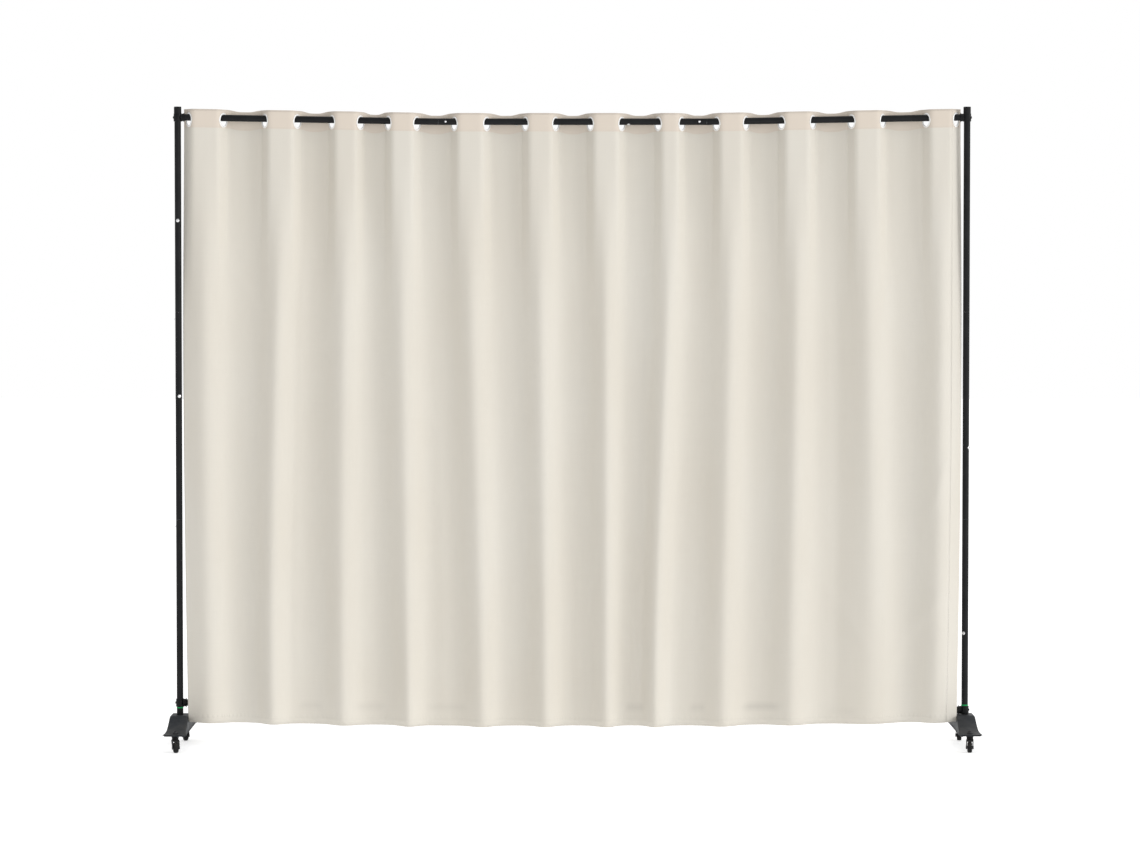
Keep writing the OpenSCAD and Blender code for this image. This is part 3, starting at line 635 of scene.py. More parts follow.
def crossing(d):
    """How far the heading has swung at a distance from an eyelet's centre."""
    a = abs(d)
    if a <= RAMP_STRAIGHT:
        swing = RAMP_SLOPE * a
    elif a < RAMP_STRAIGHT + RAMP_ROUND:
        past = a - RAMP_STRAIGHT
        swing = RAMP_SLOPE * (RAMP_STRAIGHT + past - past * past / (2 * RAMP_ROUND))
    else:
        swing = FOLD_Y
    return math.copysign(swing, d)


def nearest_eyelet(x):
    return min(range(FOLDS + 1), key=lambda i: abs(EYELETS[i] - x))


@lru_cache(maxsize=None)
def heading_y(x):
    i = nearest_eyelet(x)
    return crossing(x - EYELETS[i]) * (FRONT if i % 2 == 0 else BACK)


@lru_cache(maxsize=None)
def heading_dip(x):
    """How far the heading sags between the two eyelets of a back fold."""
    for i in range(1, FOLDS, 2):
        if EYELETS[i] < x < EYELETS[i + 1]:
            share = (x - EYELETS[i]) / (EYELETS[i + 1] - EYELETS[i])
            deep = 8.5 + 2.5 * noise.noise(Vector((i * 1.7, 3.1, 0)))
            return deep * MM * smooth(0.08, 0.4, share) * smooth(0.92, 0.6, share)
    return 0.0


def wander(x, share):
    """Sideways shift of the folds at a share of the drop."""
    places = [-SIDE_EDGE_X] + CRESTS + [SIDE_EDGE_X]
    moves = [0.0] + [r[0] * MM for r in RIDGES] + [0.0]
    for a, b, m, n in zip(places, places[1:], moves, moves[1:]):
        if x <= b:
            return mix(m, n, smooth(a, b, x)) * share
    return 0.0


def ridge_swell(x, share):
    """How far the front folds stand out at a place, in the cloth's own measure."""
    out = 0.0
    deep = setting("ridge_depth")
    for crest, (_, mid, foot) in zip(CRESTS, RIDGES):
        half = mix(46, mid, smooth(0.0, 0.4, share)) if share < 0.5 else mix(
            mid, foot, smooth(0.5, 1.0, share))
        u = (x - crest) / (half * MM)
        if abs(u) < 4:
            out += deep * math.exp(-u * u / 2) * mix(1.0, 42 / half, 0.35)
    return out


def crease_depth(x, z):
    """Shallow slack creases and the lie of the cloth at a place on the wall."""
    deep = 0.0
    for (x0, z0), (x1, z1), depth, half in CREASES:
        run = Vector((x1 - x0, z1 - z0))
        off = Vector((x - x0, z - z0))
        along = off.dot(run) / run.length_squared
        if -0.3 < along < 1.3:
            across = (off.x * run.y - off.y * run.x) / run.length / (half * MM)
            deep += depth * MM * math.exp(-across * across) * (
                smooth(-0.25, 0.35, along) * smooth(1.25, 0.65, along))
    for place, depth, half, start, end in SMALL_FOLDS:
        share = (bar_z(x) - HEAD_DOWN - z) / 2.26
        u = (x - place) / (half * MM)
        if abs(u) < 4:
            deep += depth * MM * math.exp(-u * u / 2) * (
                smooth(start - 0.1, start + 0.1, share) * smooth(end + 0.12, end - 0.08, share))
    slow = noise.noise(Vector((x * 3.0, z * 1.1, 4.0)))
    quick = noise.noise(Vector((x * 11.0, z * 3.2, 9.0)))
    return deep + 1.6 * MM * slow + 0.55 * MM * quick


@lru_cache(maxsize=None)
def hem_line(x):
    """Height of the hem: it follows the bar's sag and lifts a little in places."""
    lift = 0.7 * (bar_z(x) - bar_z(0))
    ripple = 1.6 * MM * noise.noise(Vector((x * 5.0, 1.0, 2.0)))
    return setting("hem_z") + lift + ripple


def cloth_point(x, above):
    """Where a point of the flat cloth hangs.

    x is its column's place at the heading; above is its height over the bar's
    axis, measured down the cloth. Returns the point and its share of the drop.
    """
    foot = -HEAD_DOWN
    dip = heading_dip(x)
    if above >= foot:
        return Vector((x, heading_y(x), bar_z(x) + above - dip)), 0.0
    top = bar_z(x) + foot
    share = min(1.0, (foot - above) / (top - hem_line(x)))
    z = mix(top, hem_line(x), share) - dip * (1 - smooth(0.0, 0.3, share))
    relaxed = smooth(0.0, 0.32, share)
    back_y = mix(FOLD_Y, HEM_BACK_Y, min(1.0, share / 0.965))
    hung = back_y - ridge_swell(x, share)
    hung -= crease_depth(x, z) * smooth(0.0, 0.08, share)
    if share > 0.93:
        hung = min(hung, -LOW_BAR_CLEAR)
    y = mix(heading_y(x) + (back_y - FOLD_Y) * 0.4, hung, relaxed)
    side = SIDE_BELLY * math.sin(math.pi * (1 - share)) - SIDE_DRAWN * share
    out_x = x * (1 + side / SIDE_EDGE_X) + wander(x, smooth(0.05, 0.95, share))
    return Vector((out_x, y, z)), share


def run_table():
    """The cloth's own length at each place along the heading."""
    table = [(-SIDE_EDGE_X, 0.0)]
    x, run = -SIDE_EDGE_X, 0.0
    while x < SIDE_EDGE_X - 1e-9:
        nxt = min(SIDE_EDGE_X, x + RUN_STEP)
        run += math.hypot(nxt - x, heading_y(nxt) - heading_y(x))
        x = nxt
        table.append((x, run))
    return table


RUN = run_table()
FLAT_WIDTH = RUN[-1][1]


def run_at(x):
    i = min(len(RUN) - 1, max(0, int(round((x + SIDE_EDGE_X) / RUN_STEP))))
    return RUN[i][1]


def place_at(run):
    """The place along the heading at a length of cloth."""
    low, high = 0, len(RUN) - 1
    while high - low > 1:
        middle = (low + high) // 2
        if RUN[middle][1] < run:
            low = middle
        else:
            high = middle
    (x0, r0), (x1, r1) = RUN[low], RUN[high]
    return mix(x0, x1, min(1.0, max(0.0, (run - r0) / (r1 - r0))))


PATCH = 30 * MM  # half the side of the square of cloth round an eyelet
PATCH_CELLS = 8
PATCH_SLACK = 0.5 * MM
PATCH_LOW = -EYELET_HANG - PATCH
TAPE_LIP = 2 * MM  # how far the heading tape reaches below those squares
UPPER_DROP = 300 * MM  # the part below the heading that has closer rows


def columns_between(start, end, eyelets, pitch):
    """Lengths of cloth at which columns stand, with even ones round each eyelet."""
    stops = [start]
    for i in eyelets:
        centre = run_at(EYELETS[i])
        stops += [centre - PATCH, centre + PATCH]
    stops.append(end)
    out = [start]
    for n, (a, b) in enumerate(zip(stops, stops[1:])):
        cells = PATCH_CELLS if n % 2 == 1 else max(1, math.ceil((b - a) / pitch))
        out += [mix(a, b, k / cells) for k in range(1, cells + 1)]
    return out


def cloth_grid(columns, rows):
    """A bmesh grid whose vertices lie at (length of cloth, 0, height over the bar)."""
    bm = bmesh.new()
    bmesh.ops.create_grid(bm, x_segments=len(columns) - 1, y_segments=len(rows) - 1, size=1.0)
    nx, nz = len(columns) - 1, len(rows) - 1
    for v in bm.verts:
        i = round((v.co.x + 1) / 2 * nx)
        j = round((v.co.y + 1) / 2 * nz)
        v.co = (columns[i], 0, rows[j])
    return bm


def cut_eyelet(bm, centre_run, centre_z, radius):
    """Opens a round hole and joins it to the grid round it."""
    def within(v, reach):
        return abs(v.co.x - centre_run) < reach and abs(v.co.z - centre_z) < reach

    inside = [v for v in bm.verts if within(v, PATCH - PATCH_SLACK)]
    bmesh.ops.delete(bm, geom=inside, context="VERTS")
    rim = [e for e in bm.edges
           if e.is_boundary and all(within(v, PATCH + PATCH_SLACK) for v in e.verts)]
    place = at(centre_run, 0, centre_z) @ turned(90, "X") @ turned(45, "Z")
    ring = bmesh.ops.create_circle(bm, cap_ends=False, radius=radius,
                                   segments=4 * PATCH_CELLS, matrix=place)
    hole = list({e for v in ring["verts"] for e in v.link_edges})
    joined = bmesh.ops.bridge_loops(bm, edges=rim + hole)
    spokes = [e for e in joined["edges"] if len({v in ring["verts"] for v in e.verts}) == 2]
    bmesh.ops.subdivide_edges(bm, edges=spokes, cuts=1, use_grid_fill=True)


def bar_shadow_darkness(point):
    """How dark the painted shadow of the lower crossbar, seen through the cloth, is at a point."""
    dark = 0.0
    if point.z < 0.3:
        for centre, half, strength in BAR_SHADOWS:
            level = abs(point.z - low_z(point.x) - 4 * MM) / (14 * MM)
            across = abs(point.x - centre) / half
            dark = max(dark, strength * smooth(1.25, 0.55, across) * smooth(1.0, 0.2, level))
    return dark


def behind_cloth(run, above):
    """The level direction out of the cloth's back at a point of the flat cloth."""
    ahead, _ = cloth_point(place_at(min(FLAT_WIDTH, run + 2 * MM)), above)
    before, _ = cloth_point(place_at(max(0.0, run - 2 * MM)), above)
    along = ahead - before
    along.z = 0
    along.normalize()
    return Vector((-along.y, along.x, 0))


def hang_cloth(bm, name, material, behind=0.0):
    """Hangs a flat bmesh of cloth and keeps its flat measure as a map and attributes."""
    flat = bm.loops.layers.uv.new("flat")
    for face in bm.faces:
        for loop in face.loops:
            loop[flat].uv = (loop.vert.co.x, loop.vert.co.z)
    lifts = bm.verts.layers.float.new("hem_height")
    marks = bm.verts.layers.float.new("bar_shadow")
    pulls = bm.verts.layers.float.new("pucker")
    for v in bm.verts:
        x = place_at(v.co.x)
        point, _ = cloth_point(x, v.co.z)
        if behind:
            point += behind_cloth(v.co.x, v.co.z) * behind
        v[lifts] = max(0.0, point.z - hem_line(x))
        # pucker strength, which scales the hem's dents and the painted shade in them
        v[pulls] = 0.35 + 0.65 * smooth(1.1, 1.35, abs(x))
        # painted shadow of the lower crossbar seen through the cloth
        v[marks] = bar_shadow_darkness(point)
        v.co = point
    made = to_piece(bm, name, material)
    shell = made.modifiers.new("thickness", "SOLIDIFY")
    shell.thickness = CLOTH_THICKNESS
    shell.offset = 0
    return made


def steps_between(low, high, count):
    return [mix(low, high, k / count) for k in range(count + 1)]


def drop_length():
    return bar_z(0) - HEAD_DOWN - settings().hem_z


def draw_aside(piece):
    """Gives the piece its own copy of its mesh."""
    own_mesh(piece)


def eyelet_frame(i):
    x = EYELETS[i]
    return (at(x, 0, bar_z(x) - EYELET_HANG) @ turned(-60 if i % 2 == 0 else 60, "Z")
            @ turned(90, "X"))


def eyelet_rings(name, numbers):
    """Two halves of a round-edged ring snapped together through the cloth."""
    half = [(21.5, 0.1), (21.5, 1.0)]
    half += [(22.7 - 1.2 * math.cos(t), 0.8 + 1.25 * math.sin(t)) for t in (0.5, 1.0, 1.57)]
    half += [(24.6, 2.0), (26.2, 1.75), (27.4, 1.25), (28, 0.62), (27.7, 0.42), (24.3, 0.42),
             (24.3, 0.1)]
    bm = bmesh.new()
    for i in numbers:
        for face in (-1, 1):
            lathe(bm, [(r, h * face) for r, h in half], eyelet_frame(i), 44)
    return finish(bm, name, FINISHES["eyelet_ring"], 50)


def lead_columns(start, centre, end):
    """Columns of the narrow leading strip, whose eyelet sits near its first edge."""
    left = min(PATCH, centre - start)
    right = min(PATCH, end - centre)
    out = steps_between(centre - left, centre + right, PATCH_CELLS)
    if centre - left > start + MERGE:
        out = steps_between(start, centre - left, 1)[:-1] + out
    if centre + right < end - MERGE:
        out += steps_between(centre + right, end, 2)[1:]
    return out


def cloth_rows(hem, count):
    """Heights over the bar's axis at which rows stand, with even ones round each eyelet."""
    rows = steps_between(hem, -HEAD_DOWN - UPPER_DROP, count)
    rows += steps_between(-HEAD_DOWN - UPPER_DROP, -HEAD_DOWN, 14)[1:]
    rows += steps_between(PATCH_LOW, PATCH_LOW + 2 * PATCH, PATCH_CELLS)
    return sorted({round(row, 6) for row in rows + [HEAD_UP]})


# ---------- operators ----------

class PARTITION_OT_finishes(Operator):
    """Build every finish and paint the CAD pieces that keep their own shape"""

    bl_idname = "partition.finishes"
    bl_label = "Finishes"

    def execute(self, context):
        make_finishes()
        slots = {p["node"]: p["material_slot"] for p in frame["record"]["subparts"]}
        for name, node in frame["nodes"].items():
            slot = slots[name]
            if slot in ("heading_cloth", "curtain_cloth"):
                continue
            node.data.materials.clear()
            node.data.materials.append(FINISHES[slot])
        return {"FINISHED"}


class PARTITION_OT_curtain(Operator):
    """Hang the curtain, its heading tape, its hem and its rings"""

    bl_idname = "partition.curtain"
    bl_label = "Curtain"

    def execute(self, context):
        look = settings()
        hem = -HEAD_DOWN - drop_length()
        rows = cloth_rows(hem, look.drop_rows)
        tape_rows = [PATCH_LOW - TAPE_LIP] + [r for r in rows if r >= PATCH_LOW - 1e-5]
        hem_rows = steps_between(hem + 2 * CLOTH_THICKNESS, hem + look.hem_fold, 3)
        split = run_at(LEAD_X)
        spans = ((("curtain_cloth", "heading_tape", "hem_turning"), range(FOLDS),
                  columns_between(0.0, split - LEAD_GAP, range(FOLDS), look.column_pitch)),
                 (("leading_cloth", "leading_tape", "leading_hem"), [FOLDS],
                  lead_columns(split, run_at(EYELETS[FOLDS]), FLAT_WIDTH)))
        made = {}
        for (cloth, tape, turning), eyelets, columns in spans:
            flat_cloth, flat_tape = cloth_grid(columns, rows), cloth_grid(columns, tape_rows)
            for i in eyelets:
                for bm in (flat_cloth, flat_tape):
                    cut_eyelet(bm, run_at(EYELETS[i]), -EYELET_HANG, HOLE_R)
            made[cloth] = hang_cloth(flat_cloth, cloth, FINISHES["curtain_cloth"])
            made[tape] = hang_cloth(flat_tape, tape, FINISHES["heading_tape"], TURNED_BACK)
            made[turning] = hang_cloth(
                cloth_grid(columns, hem_rows), turning, FINISHES["hem_cloth"], TURNED_BACK)
        made["eyelet_rings"] = eyelet_rings("eyelet_rings", range(FOLDS))
        made["leading_ring"] = eyelet_rings("leading_ring", [FOLDS])

        for name, slot, node in (("curtain_cloth", "curtain_cloth", "curtain_drop"),
                                 ("heading_tape", "heading_cloth", "curtain_heading"),
                                 ("hem_turning", "curtain_cloth", None),
                                 ("eyelet_rings", "eyelet_ring", "curtain_eyelets")):
            settle(made[name], "frame", node)
            draw_aside(made[name])
        for name, slot, node in (("leading_cloth", "curtain_cloth", "leading_edge"),
                                 ("leading_tape", "heading_cloth", None),
                                 ("leading_hem", "curtain_cloth", None),
                                 ("leading_ring", "eyelet_ring", "leading_eyelet")):
            settle(made[name], "curtain_lead", node)
        return {"FINISHED"}


class PARTITION_OT_castings(Operator):
    """Cast tees and moulded post caps with their rounded rims"""

    bl_idname = "partition.castings"
    bl_label = "Tees and caps"

    def execute(self, context):
        tees = (("top_left_tee", LEFT, TOP_BAR_Z), ("top_right_tee", RIGHT, TOP_BAR_Z),
                ("low_left_tee", LEFT, LOW_LEFT_Z), ("low_right_tee", RIGHT, LOW_RIGHT_Z))
        for node, side, z in tees:
            bm = bmesh.new()
            post = at(side * POST_X, 0, z)
            inward = post @ turned(0 if side == LEFT else 180, "Z") @ ALONG_X
            collar = ([(12.6, -15), (14.2, -15)] + arc(14.2, -13.8, 1.2, -90, 0, 4)
                      + arc(14.2, 13.8, 1.2, 0, 90, 4) + [(12.6, 15)])
            lathe(bm, collar, post, 48)
            stub = ([(0, 13), (16.2, 13.0), (15.3, 15.4), (14.6, 17.2), (14.5, 22.4),
                     (16.0, 22.5)] + arc(16.2, 23.3, 0.8, -90, 0, 3)
                    + arc(16.2, 24.7, 0.8, 0, 90, 3) + [(10.6, 25.5), (10.55, 66.5), (9.6, 67.5),
                                                        (8.2, 67.5), (8.2, 60), (0, 60)])
            lathe(bm, stub, inward, 48, closed=False)
            boss = [(0, -13.5), (5.6, -13.5), (5.6, -15.3), (5.0, -16.0), (0, -16.0)]
            lathe(bm, boss, inward, 24, closed=False)
            piece = finish(bm, node + "_casting", FINISHES["tee_cast"])
            settle(piece, "frame", node)
        bm = bmesh.new()
        low, high = 2414.3, 2440
        for side, _ in SIDES:
            cap = ([(12.6, low), (13.7, low), (14.1, low + 0.4), (14.1, high - 5.2),
                    (13.75, high - 4.9), (13.75, high - 4.5), (14.1, high - 4.2)]
                   + arc(12.1, high - 2, 2.0, 0, 90, 6) + [(0, high)])
            lathe(bm, cap, at(side * POST_X), 48, closed=False)
        piece = finish(bm, "post_cap_mouldings", FINISHES["cap_plastic"])
        settle(piece, "frame", "post_caps")
        return {"FINISHED"}


def saddle_height(y):
    """Height of the saddle over its plate: level on top, then a skirt that sweeps to the lip."""
    past = math.hypot(max(0.0, abs(y) - SADDLE_FLAT), SHOULDER) - SHOULDER
    share = min(1.0, past / (SADDLE_TIP - SADDLE_FLAT - SHOULDER))
    return mix(LIP, SADDLE_TOP - PLATE_TOP, (1 - share) ** 2)


def saddle_shell(side):
    """The saddle's outer skin: an arched section at each place from front to back."""
    folds = 5
    nx, ny = 2 * folds + 3, 64
    bm = bmesh.new()
    bmesh.ops.create_grid(bm, x_segments=nx, y_segments=ny, size=1.0)
    for v in bm.verts:
        y = v.co.y * SADDLE_TIP
        height = saddle_height(y)
        edge = -1 if v.co.x < 0 else 1
        step = round((1 - abs(v.co.x)) / 2 * nx)
        turn = math.radians(90 * max(0, step - 1) / folds)
        bend = min(5 * MM, 0.7 * height)
        z = 0.0 if step == 0 else height - bend + bend * math.sin(turn)
        inset = 0.0 if step == 0 else bend - bend * math.cos(turn)
        spread = SADDLE_HALF * mix(1.085, 0.975, z / (SADDLE_TOP - PLATE_TOP))
        spread += 7 * MM * smooth(130 * MM, SADDLE_TIP, abs(y))
        v.co = (side * POST_X + edge * (spread - inset), y, PLATE_TOP + z)
    return bm


class PARTITION_OT_feet(Operator):
    """Pressed feet: base plate with rounded corners, flared saddle and dome nuts"""

    bl_idname = "partition.feet"
    bl_label = "Feet"

    def execute(self, context):
        for side, label in SIDES:
            bm = bmesh.new()
            w, d, r = 40, 225, 10
            outline = (arc(w - r, d - r, r, 0, 90, 6) + arc(r - w, d - r, r, 90, 180, 6)
                       + arc(r - w, r - d, r, 180, 270, 6) + arc(w - r, r - d, r, 270, 360, 6))
            prism(bm, outline, 3, at(side * POST_X, 0, PLATE_LOW), 0.7)
            plate = finish(bm, label + "_foot_pressing", FINISHES["foot_coat"])
            settle(plate, "frame", label + "_foot_plate")

            saddle = finish(saddle_shell(side), label + "_foot_saddle_pressing",
                            FINISHES["foot_coat"], 25)
            wall = saddle.modifiers.new("wall", "SOLIDIFY")
            wall.thickness = SADDLE_WALL
            wall.offset = -1
            settle(saddle, "frame", label + "_foot_saddle")

        flats = [(9.8 * math.cos(TURN * k / 6), 9.8 * math.sin(TURN * k / 6)) for k in range(6)]
        dome = [(8.1, 8.2)] + arc(0, 8.2, 8.1, 8, 86, 8) + [(0, 16.3)]
        washer = [(10.9, 0), (11.4, 0.2), (11.4, 0.9), (10.9, 1.1), (5.2, 1.1), (5.2, 0)]
        bm = bmesh.new()
        for side, _ in SIDES:
            for end, _ in ENDS:
                spot = at(side * POST_X, end * CASTER_Y, PLATE_TOP)
                prism(bm, flats, 8.4, spot, 0.5)
                lathe(bm, dome, spot, 30, closed=False)
                lathe(bm, washer, spot, 36)
        nuts = finish(bm, "dome_nuts", FINISHES["black_screw"])
        settle(nuts, "frame", "stem_nuts")
        return {"FINISHED"}


class PARTITION_OT_casters(Operator):
    """Moulded forks, treaded wheels with ribbed cores, and brake pedals"""

    bl_idname = "partition.casters"
    bl_label = "Casters"

    def execute(self, context):
        for side, label in SIDES:
            for end, word in ENDS:
                tag = f"{word}_{label}"
                place = caster_place(side, end)
                self.fork(place, tag, end == FRONT)
                self.wheel(place, tag)
                if end == FRONT:
                    self.pedal(place, tag)
        return {"FINISHED"}

    def fork(self, place, tag, braked):
        foot, groove, high = (48, 49.2, 2.2) if braked else (42, 48.6, 6)
        neck = [(5.1, foot), (13.5, foot), (13.5, 48.4 if braked else 47.5), (12.6, groove),
                (12.6, 56.5), (13.5, 57.4), (13.5, 62.5), (12.9, 63.6), (5.1, 63.6)]
        bm = bmesh.new()
        lathe(bm, neck, place, 44)
        block(bm, (27, 23, high), (0, 1.5, 48 - high / 2), place, 0.5)
        arm = (arc(-14, 20, 7, 180, 360, 12)
               + [(-4.5, 25), (13.2, 42.5), (13.2, 48), (-14.6, 48), (-20.8, 34)])
        for x in (-13.5, 10.5):
            prism(bm, arm, 3, place @ at(x * MM) @ UPRIGHT_ALONG_Y, 0.6)
            outer, grow = (0.0, -1) if x < 0 else (3.0, 1)
            boss = place @ at((x + outer) * MM, -TRAIL, WHEEL_R) @ ALONG_X
            ring = [(4.2, 0), (6.4, 0), (6.4, 0.9 * grow), (5.9, 1.3 * grow), (4.2, 1.3 * grow)]
            lathe(bm, ring, boss, 32)
        piece = finish(bm, "fork_moulding_" + tag, FINISHES["fork_plastic"])
        settle(piece, "fork_" + tag, "fork_" + tag)

    def wheel(self, place, tag):
        hub = place @ at(0, -TRAIL, WHEEL_R) @ ALONG_X
        bm = bmesh.new()
        tread = [(15.2, 8.2), (15.6, 8.8)] + arc(15.6, 4.8, 4.0, 75, 15, 5)
        tread += [(19.85, 2.4), (20.0, 0), (19.85, -2.4)]
        tread += arc(15.6, -4.8, 4.0, -15, -75, 5) + [(15.6, -8.8), (15.2, -8.2)]
        lathe(bm, tread, hub, 64)
        piece = finish(bm, "tyre_" + tag, FINISHES["wheel_tread"])
        settle(piece, "wheel_" + tag, "wheel_" + tag)
        bm = bmesh.new()
        half = [(4.06, 9.9), (6.4, 9.9), (6.9, 9.4), (7.2, 7.2), (8.2, 6.6), (12.2, 6.6),
                (13.4, 7.4), (14.0, 8.4), (15.3, 8.3)]
        lathe(bm, half + [(r, -h) for r, h in reversed(half)], hub, 48)
        for face in (-1, 1):
            for k in range(6):
                spoke = hub @ turned(60 * k, "Z")
                block(bm, (6.6, 1.4, 1.5), (10.2, 0, face * 7.2), spoke, 0.3, 1)
        piece = finish(bm, "wheel_core_" + tag, FINISHES["wheel_core"])
        settle(piece, "wheel_" + tag)

    def pedal(self, place, tag):
        bm = bmesh.new()
        pin = place @ at(0, *PEDAL_PIN)
        barrel = [(1.56, -11), (2.7, -11), (3.0, -10.6), (3.0, 10.6), (2.7, 11), (1.56, 11)]
        lathe(bm, barrel, pin @ ALONG_X, 28)
        plate = (arc(8, -23, 3, 270, 360, 5) + [(11, -1), (-11, -1)]
                 + arc(-8, -23, 3, 180, 270, 5))
        prism(bm, plate, 3, pin @ at(z=-1.5 * MM), 0.6)
        block(bm, (20.5, 2.6, 1.9), (0, -24.2, 2.2), pin, 0.6)
        for y in (-20.5, -17.5, -14.5):
            block(bm, (16, 1.2, 0.8), (0, y, 1.7), pin, 0.25, 1)
        block(bm, (14, 4, 4.3), (0, -10, -3.15), pin, 0.5)
        piece = finish(bm, "pedal_moulding_" + tag, FINISHES["pedal_plastic"])
        settle(piece, "pedal_" + tag, "pedal_" + tag)


class PARTITION_OT_stage(Operator):
    """Pale floor, soft studio light and the camera"""

    bl_idname = "partition.stage"
    bl_label = "Stage"

    def execute(self, context):
        look = settings()
        scene = context.scene
        bm = bmesh.new()
        bmesh.ops.create_grid(bm, x_segments=8, y_segments=8, size=40.0)
        mesh = bpy.data.meshes.new("studio_floor")
        bm.to_mesh(mesh)
        bm.free()
        material, _, shader = bare_material("studio_floor", (0.93, 0.93, 0.93), 0.9)
        shader.inputs["Emission Color"].default_value = (1, 1, 1, 1)
        shader.inputs["Emission Strength"].default_value = look.floor_glow
        mesh.materials.append(material)
        link("studio_floor", mesh)

        world = bpy.data.worlds.new("studio")
        scene.world = world
        world.use_nodes = True
        nodes, links = world.node_tree.nodes, world.node_tree.links
        lit = nodes["Background"]
        lit.inputs["Color"].default_value = (1, 1, 1, 1)
        lit.inputs["Strength"].default_value = look.fill_light
        seen = nodes.new("ShaderNodeBackground")
        seen.inputs["Strength"].default_value = 1.0
        seen.inputs["Color"].default_value = (1, 1, 1, 1)
        rays = nodes.new("ShaderNodeLightPath")
        either = nodes.new("ShaderNodeMixShader")
        links.new(rays.outputs["Is Camera Ray"], either.inputs[0])
        links.new(lit.outputs[0], either.inputs[1])
        links.new(seen.outputs[0], either.inputs[2])
        links.new(either.outputs[0], nodes["World Output"].inputs["Surface"])
        scene.view_settings.view_transform = "Standard"

        key = bpy.data.lights.new("key", "SUN")
        key.energy = look.key_light
        key.angle = look.key_softness
        self.aim(link("key", key), Vector((-2.3, 1.0, -0.75)))
        lamps = (("front_fill", (3.0, -9.0, 2.4), (0.4, 0, 1.3), 4.0, 1.6 * look.side_light),
                 ("back_soft", (2.0, 7.0, 4.0), (0, 0, 1.2), 4.0, look.side_light))
        for name, spot, target, size, power in lamps:
            lamp = bpy.data.lights.new(name, "AREA")
            lamp.shape = "SQUARE"
            lamp.size = size
            lamp.energy = power
            lamp_object = link(name, lamp)
            lamp_object.location = spot
            self.aim(lamp_object, Vector(target) - Vector(spot))

        camera = bpy.data.cameras.new("camera")
        camera.sensor_width = 36
        camera.lens = look.lens
        camera.clip_end = 200
        seat = link("camera", camera)
        seat.location = look.camera_place
        seat.rotation_euler = (math.radians(90 + look.camera_pitch), 0,
                               math.radians(look.camera_yaw))
        scene.camera = seat
        return {"FINISHED"}

    def aim(self, lamp, direction):
        lamp.rotation_euler = direction.to_track_quat("-Z", "Y").to_euler()


# ---------- settings, panel and registration ----------

def colour_property(name, description, default):
    return FloatVectorProperty(name=name, description=description, default=default,
                               subtype="COLOR", size=3, min=0, max=1)


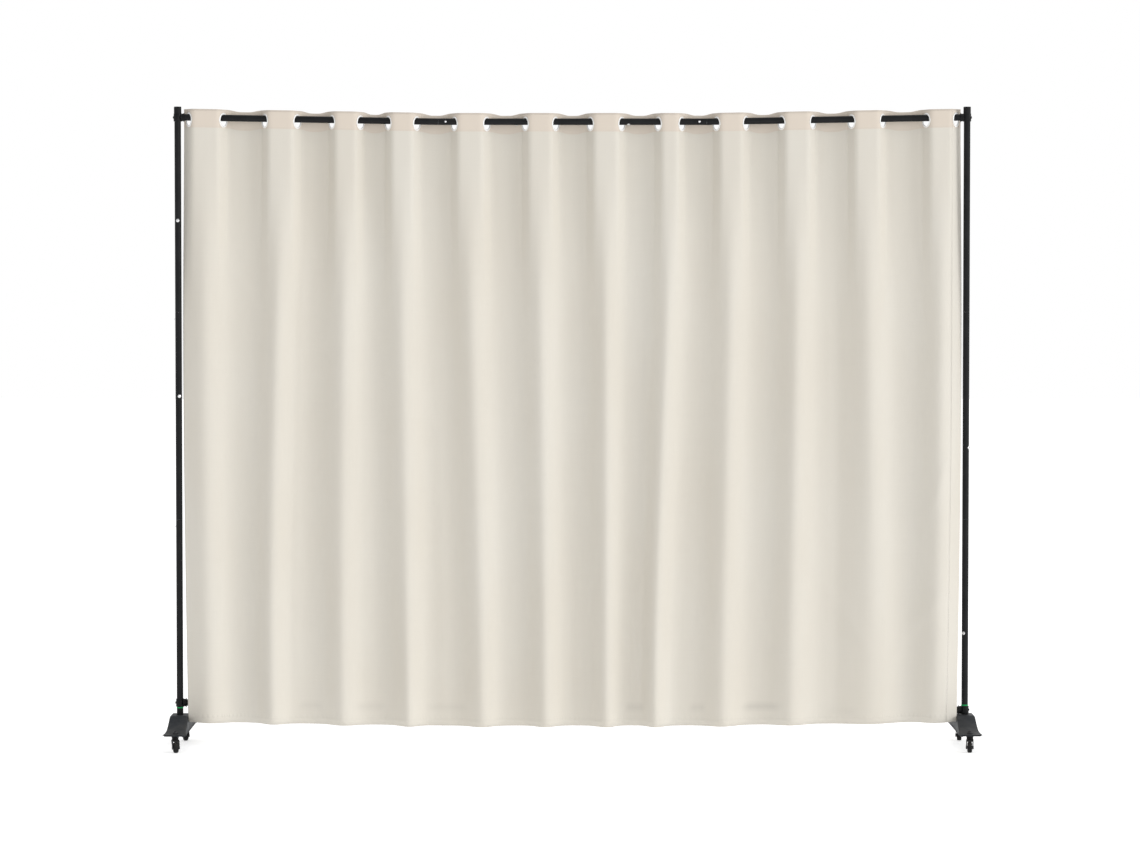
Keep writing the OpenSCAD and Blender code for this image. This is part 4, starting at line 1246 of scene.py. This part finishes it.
class PartitionSettings(PropertyGroup):
    """The sizes and colours that a user would change."""

    cloth_colour: colour_property("Cloth", "Colour of the curtain", (0.632, 0.604, 0.545))
    heading_colour: colour_property(
        "Heading", "Colour of the stiffened heading", (0.622, 0.554, 0.478))
    ring_colour: colour_property("Rings", "Colour of the eyelet rings", (0.85, 0.85, 0.84))
    coat_colour: colour_property(
        "Tube coat", "Colour of the powder coat on the tubes", (0.0062, 0.0066, 0.0074))
    foot_colour: colour_property(
        "Foot coat", "Colour of the powder coat on the feet", (0.0140, 0.0165, 0.0205))
    band_colour: colour_property(
        "Height bands", "Colour of the two marking bands", (0.010, 0.30, 0.085))
    ridge_depth: FloatProperty(
        name="Fold depth", description="How far the front folds stand out",
        default=0.054, min=0.0, max=0.07, subtype="DISTANCE", unit="LENGTH")
    hem_z: FloatProperty(
        name="Hem height", description="Height of the hem in the middle of the wall",
        default=0.082, min=0.07, max=0.16, subtype="DISTANCE", unit="LENGTH")
    hem_fold: FloatProperty(
        name="Hem turning", description="Height of the turned-up hem",
        default=0.030, min=0.01, max=0.08, subtype="DISTANCE", unit="LENGTH")
    thread_pitch: FloatProperty(
        name="Thread", description="Spacing of the cloth's threads",
        default=0.0006, min=0.0002, max=0.003, precision=5, subtype="DISTANCE", unit="LENGTH")
    column_pitch: FloatProperty(
        name="Column spacing", description="Spacing of the cloth mesh's columns",
        default=0.0105, min=0.005, max=0.03, subtype="DISTANCE", unit="LENGTH")
    drop_rows: IntProperty(
        name="Rows", description="Rows of faces down the curtain's drop",
        default=84, min=20, max=120)
    # strength of the painted shadow of the lower crossbar seen through the cloth
    bar_shadow_strength: FloatProperty(
        name="Bar marks", description="How dark the lower bar shows through the cloth",
        default=0.22, min=0.0, max=1.0)
    key_light: FloatProperty(name="Key light", description="Strength of the light on the right",
                             default=1.2, min=0.0)
    key_softness: FloatProperty(
        name="Key softness", description="How wide the light on the right spreads",
        default=0.5, min=0.0, max=1.5, subtype="ANGLE", unit="ROTATION")
    side_light: FloatProperty(name="Side lights", description="Power of the two soft lights",
                              default=40.0, min=0.0, unit="POWER")
    fill_light: FloatProperty(name="Fill", description="Strength of the light all round",
                              default=0.72, min=0.0, max=3.0)
    floor_glow: FloatProperty(name="Floor glow", description="Light given off by the floor",
                              default=0.48, min=0.0, max=2.0)
    lens: FloatProperty(name="Lens", description="Focal length of the camera in millimetres",
                        default=120.2, min=10, max=400, unit="CAMERA")
    camera_place: FloatVectorProperty(
        name="Camera place", description="Where the camera stands",
        default=(-0.05, -14.5, 1.81), subtype="TRANSLATION", unit="LENGTH", size=3)
    camera_pitch: FloatProperty(name="Camera pitch", description="Tilt in degrees, up is more",
                                default=-2.33, min=-90, max=90)
    camera_yaw: FloatProperty(name="Camera yaw", description="Turn in degrees, left is more",
                              default=-0.16, min=-180, max=180)


class PARTITION_PT_panel(Panel):
    """Lists the partition's settings and its builders"""

    bl_label = "Partition"
    bl_idname = "PARTITION_PT_panel"
    bl_space_type = "VIEW_3D"
    bl_region_type = "UI"
    bl_category = "Partition"

    def draw(self, context):
        look = context.scene.partition
        for name in look.__annotations__:
            self.layout.prop(look, name)
        for operator in BUILDERS:
            self.layout.operator(operator.bl_idname)


BUILDERS = (PARTITION_OT_finishes, PARTITION_OT_stage, PARTITION_OT_curtain,
            PARTITION_OT_castings, PARTITION_OT_feet, PARTITION_OT_casters)
CLASSES = (PartitionSettings, *BUILDERS, PARTITION_PT_panel)


def register():
    for cls in CLASSES:
        bpy.utils.register_class(cls)
    bpy.types.Scene.partition = PointerProperty(type=PartitionSettings)


def unregister():
    del bpy.types.Scene.partition
    for cls in reversed(CLASSES):
        bpy.utils.unregister_class(cls)


def main():
    register()
    bpy.ops.partition.finishes()
    bpy.ops.partition.stage()
    bpy.ops.partition.curtain()
    bpy.ops.partition.castings()
    bpy.ops.partition.feet()
    bpy.ops.partition.casters()


if __name__ == "__main__":
    main()
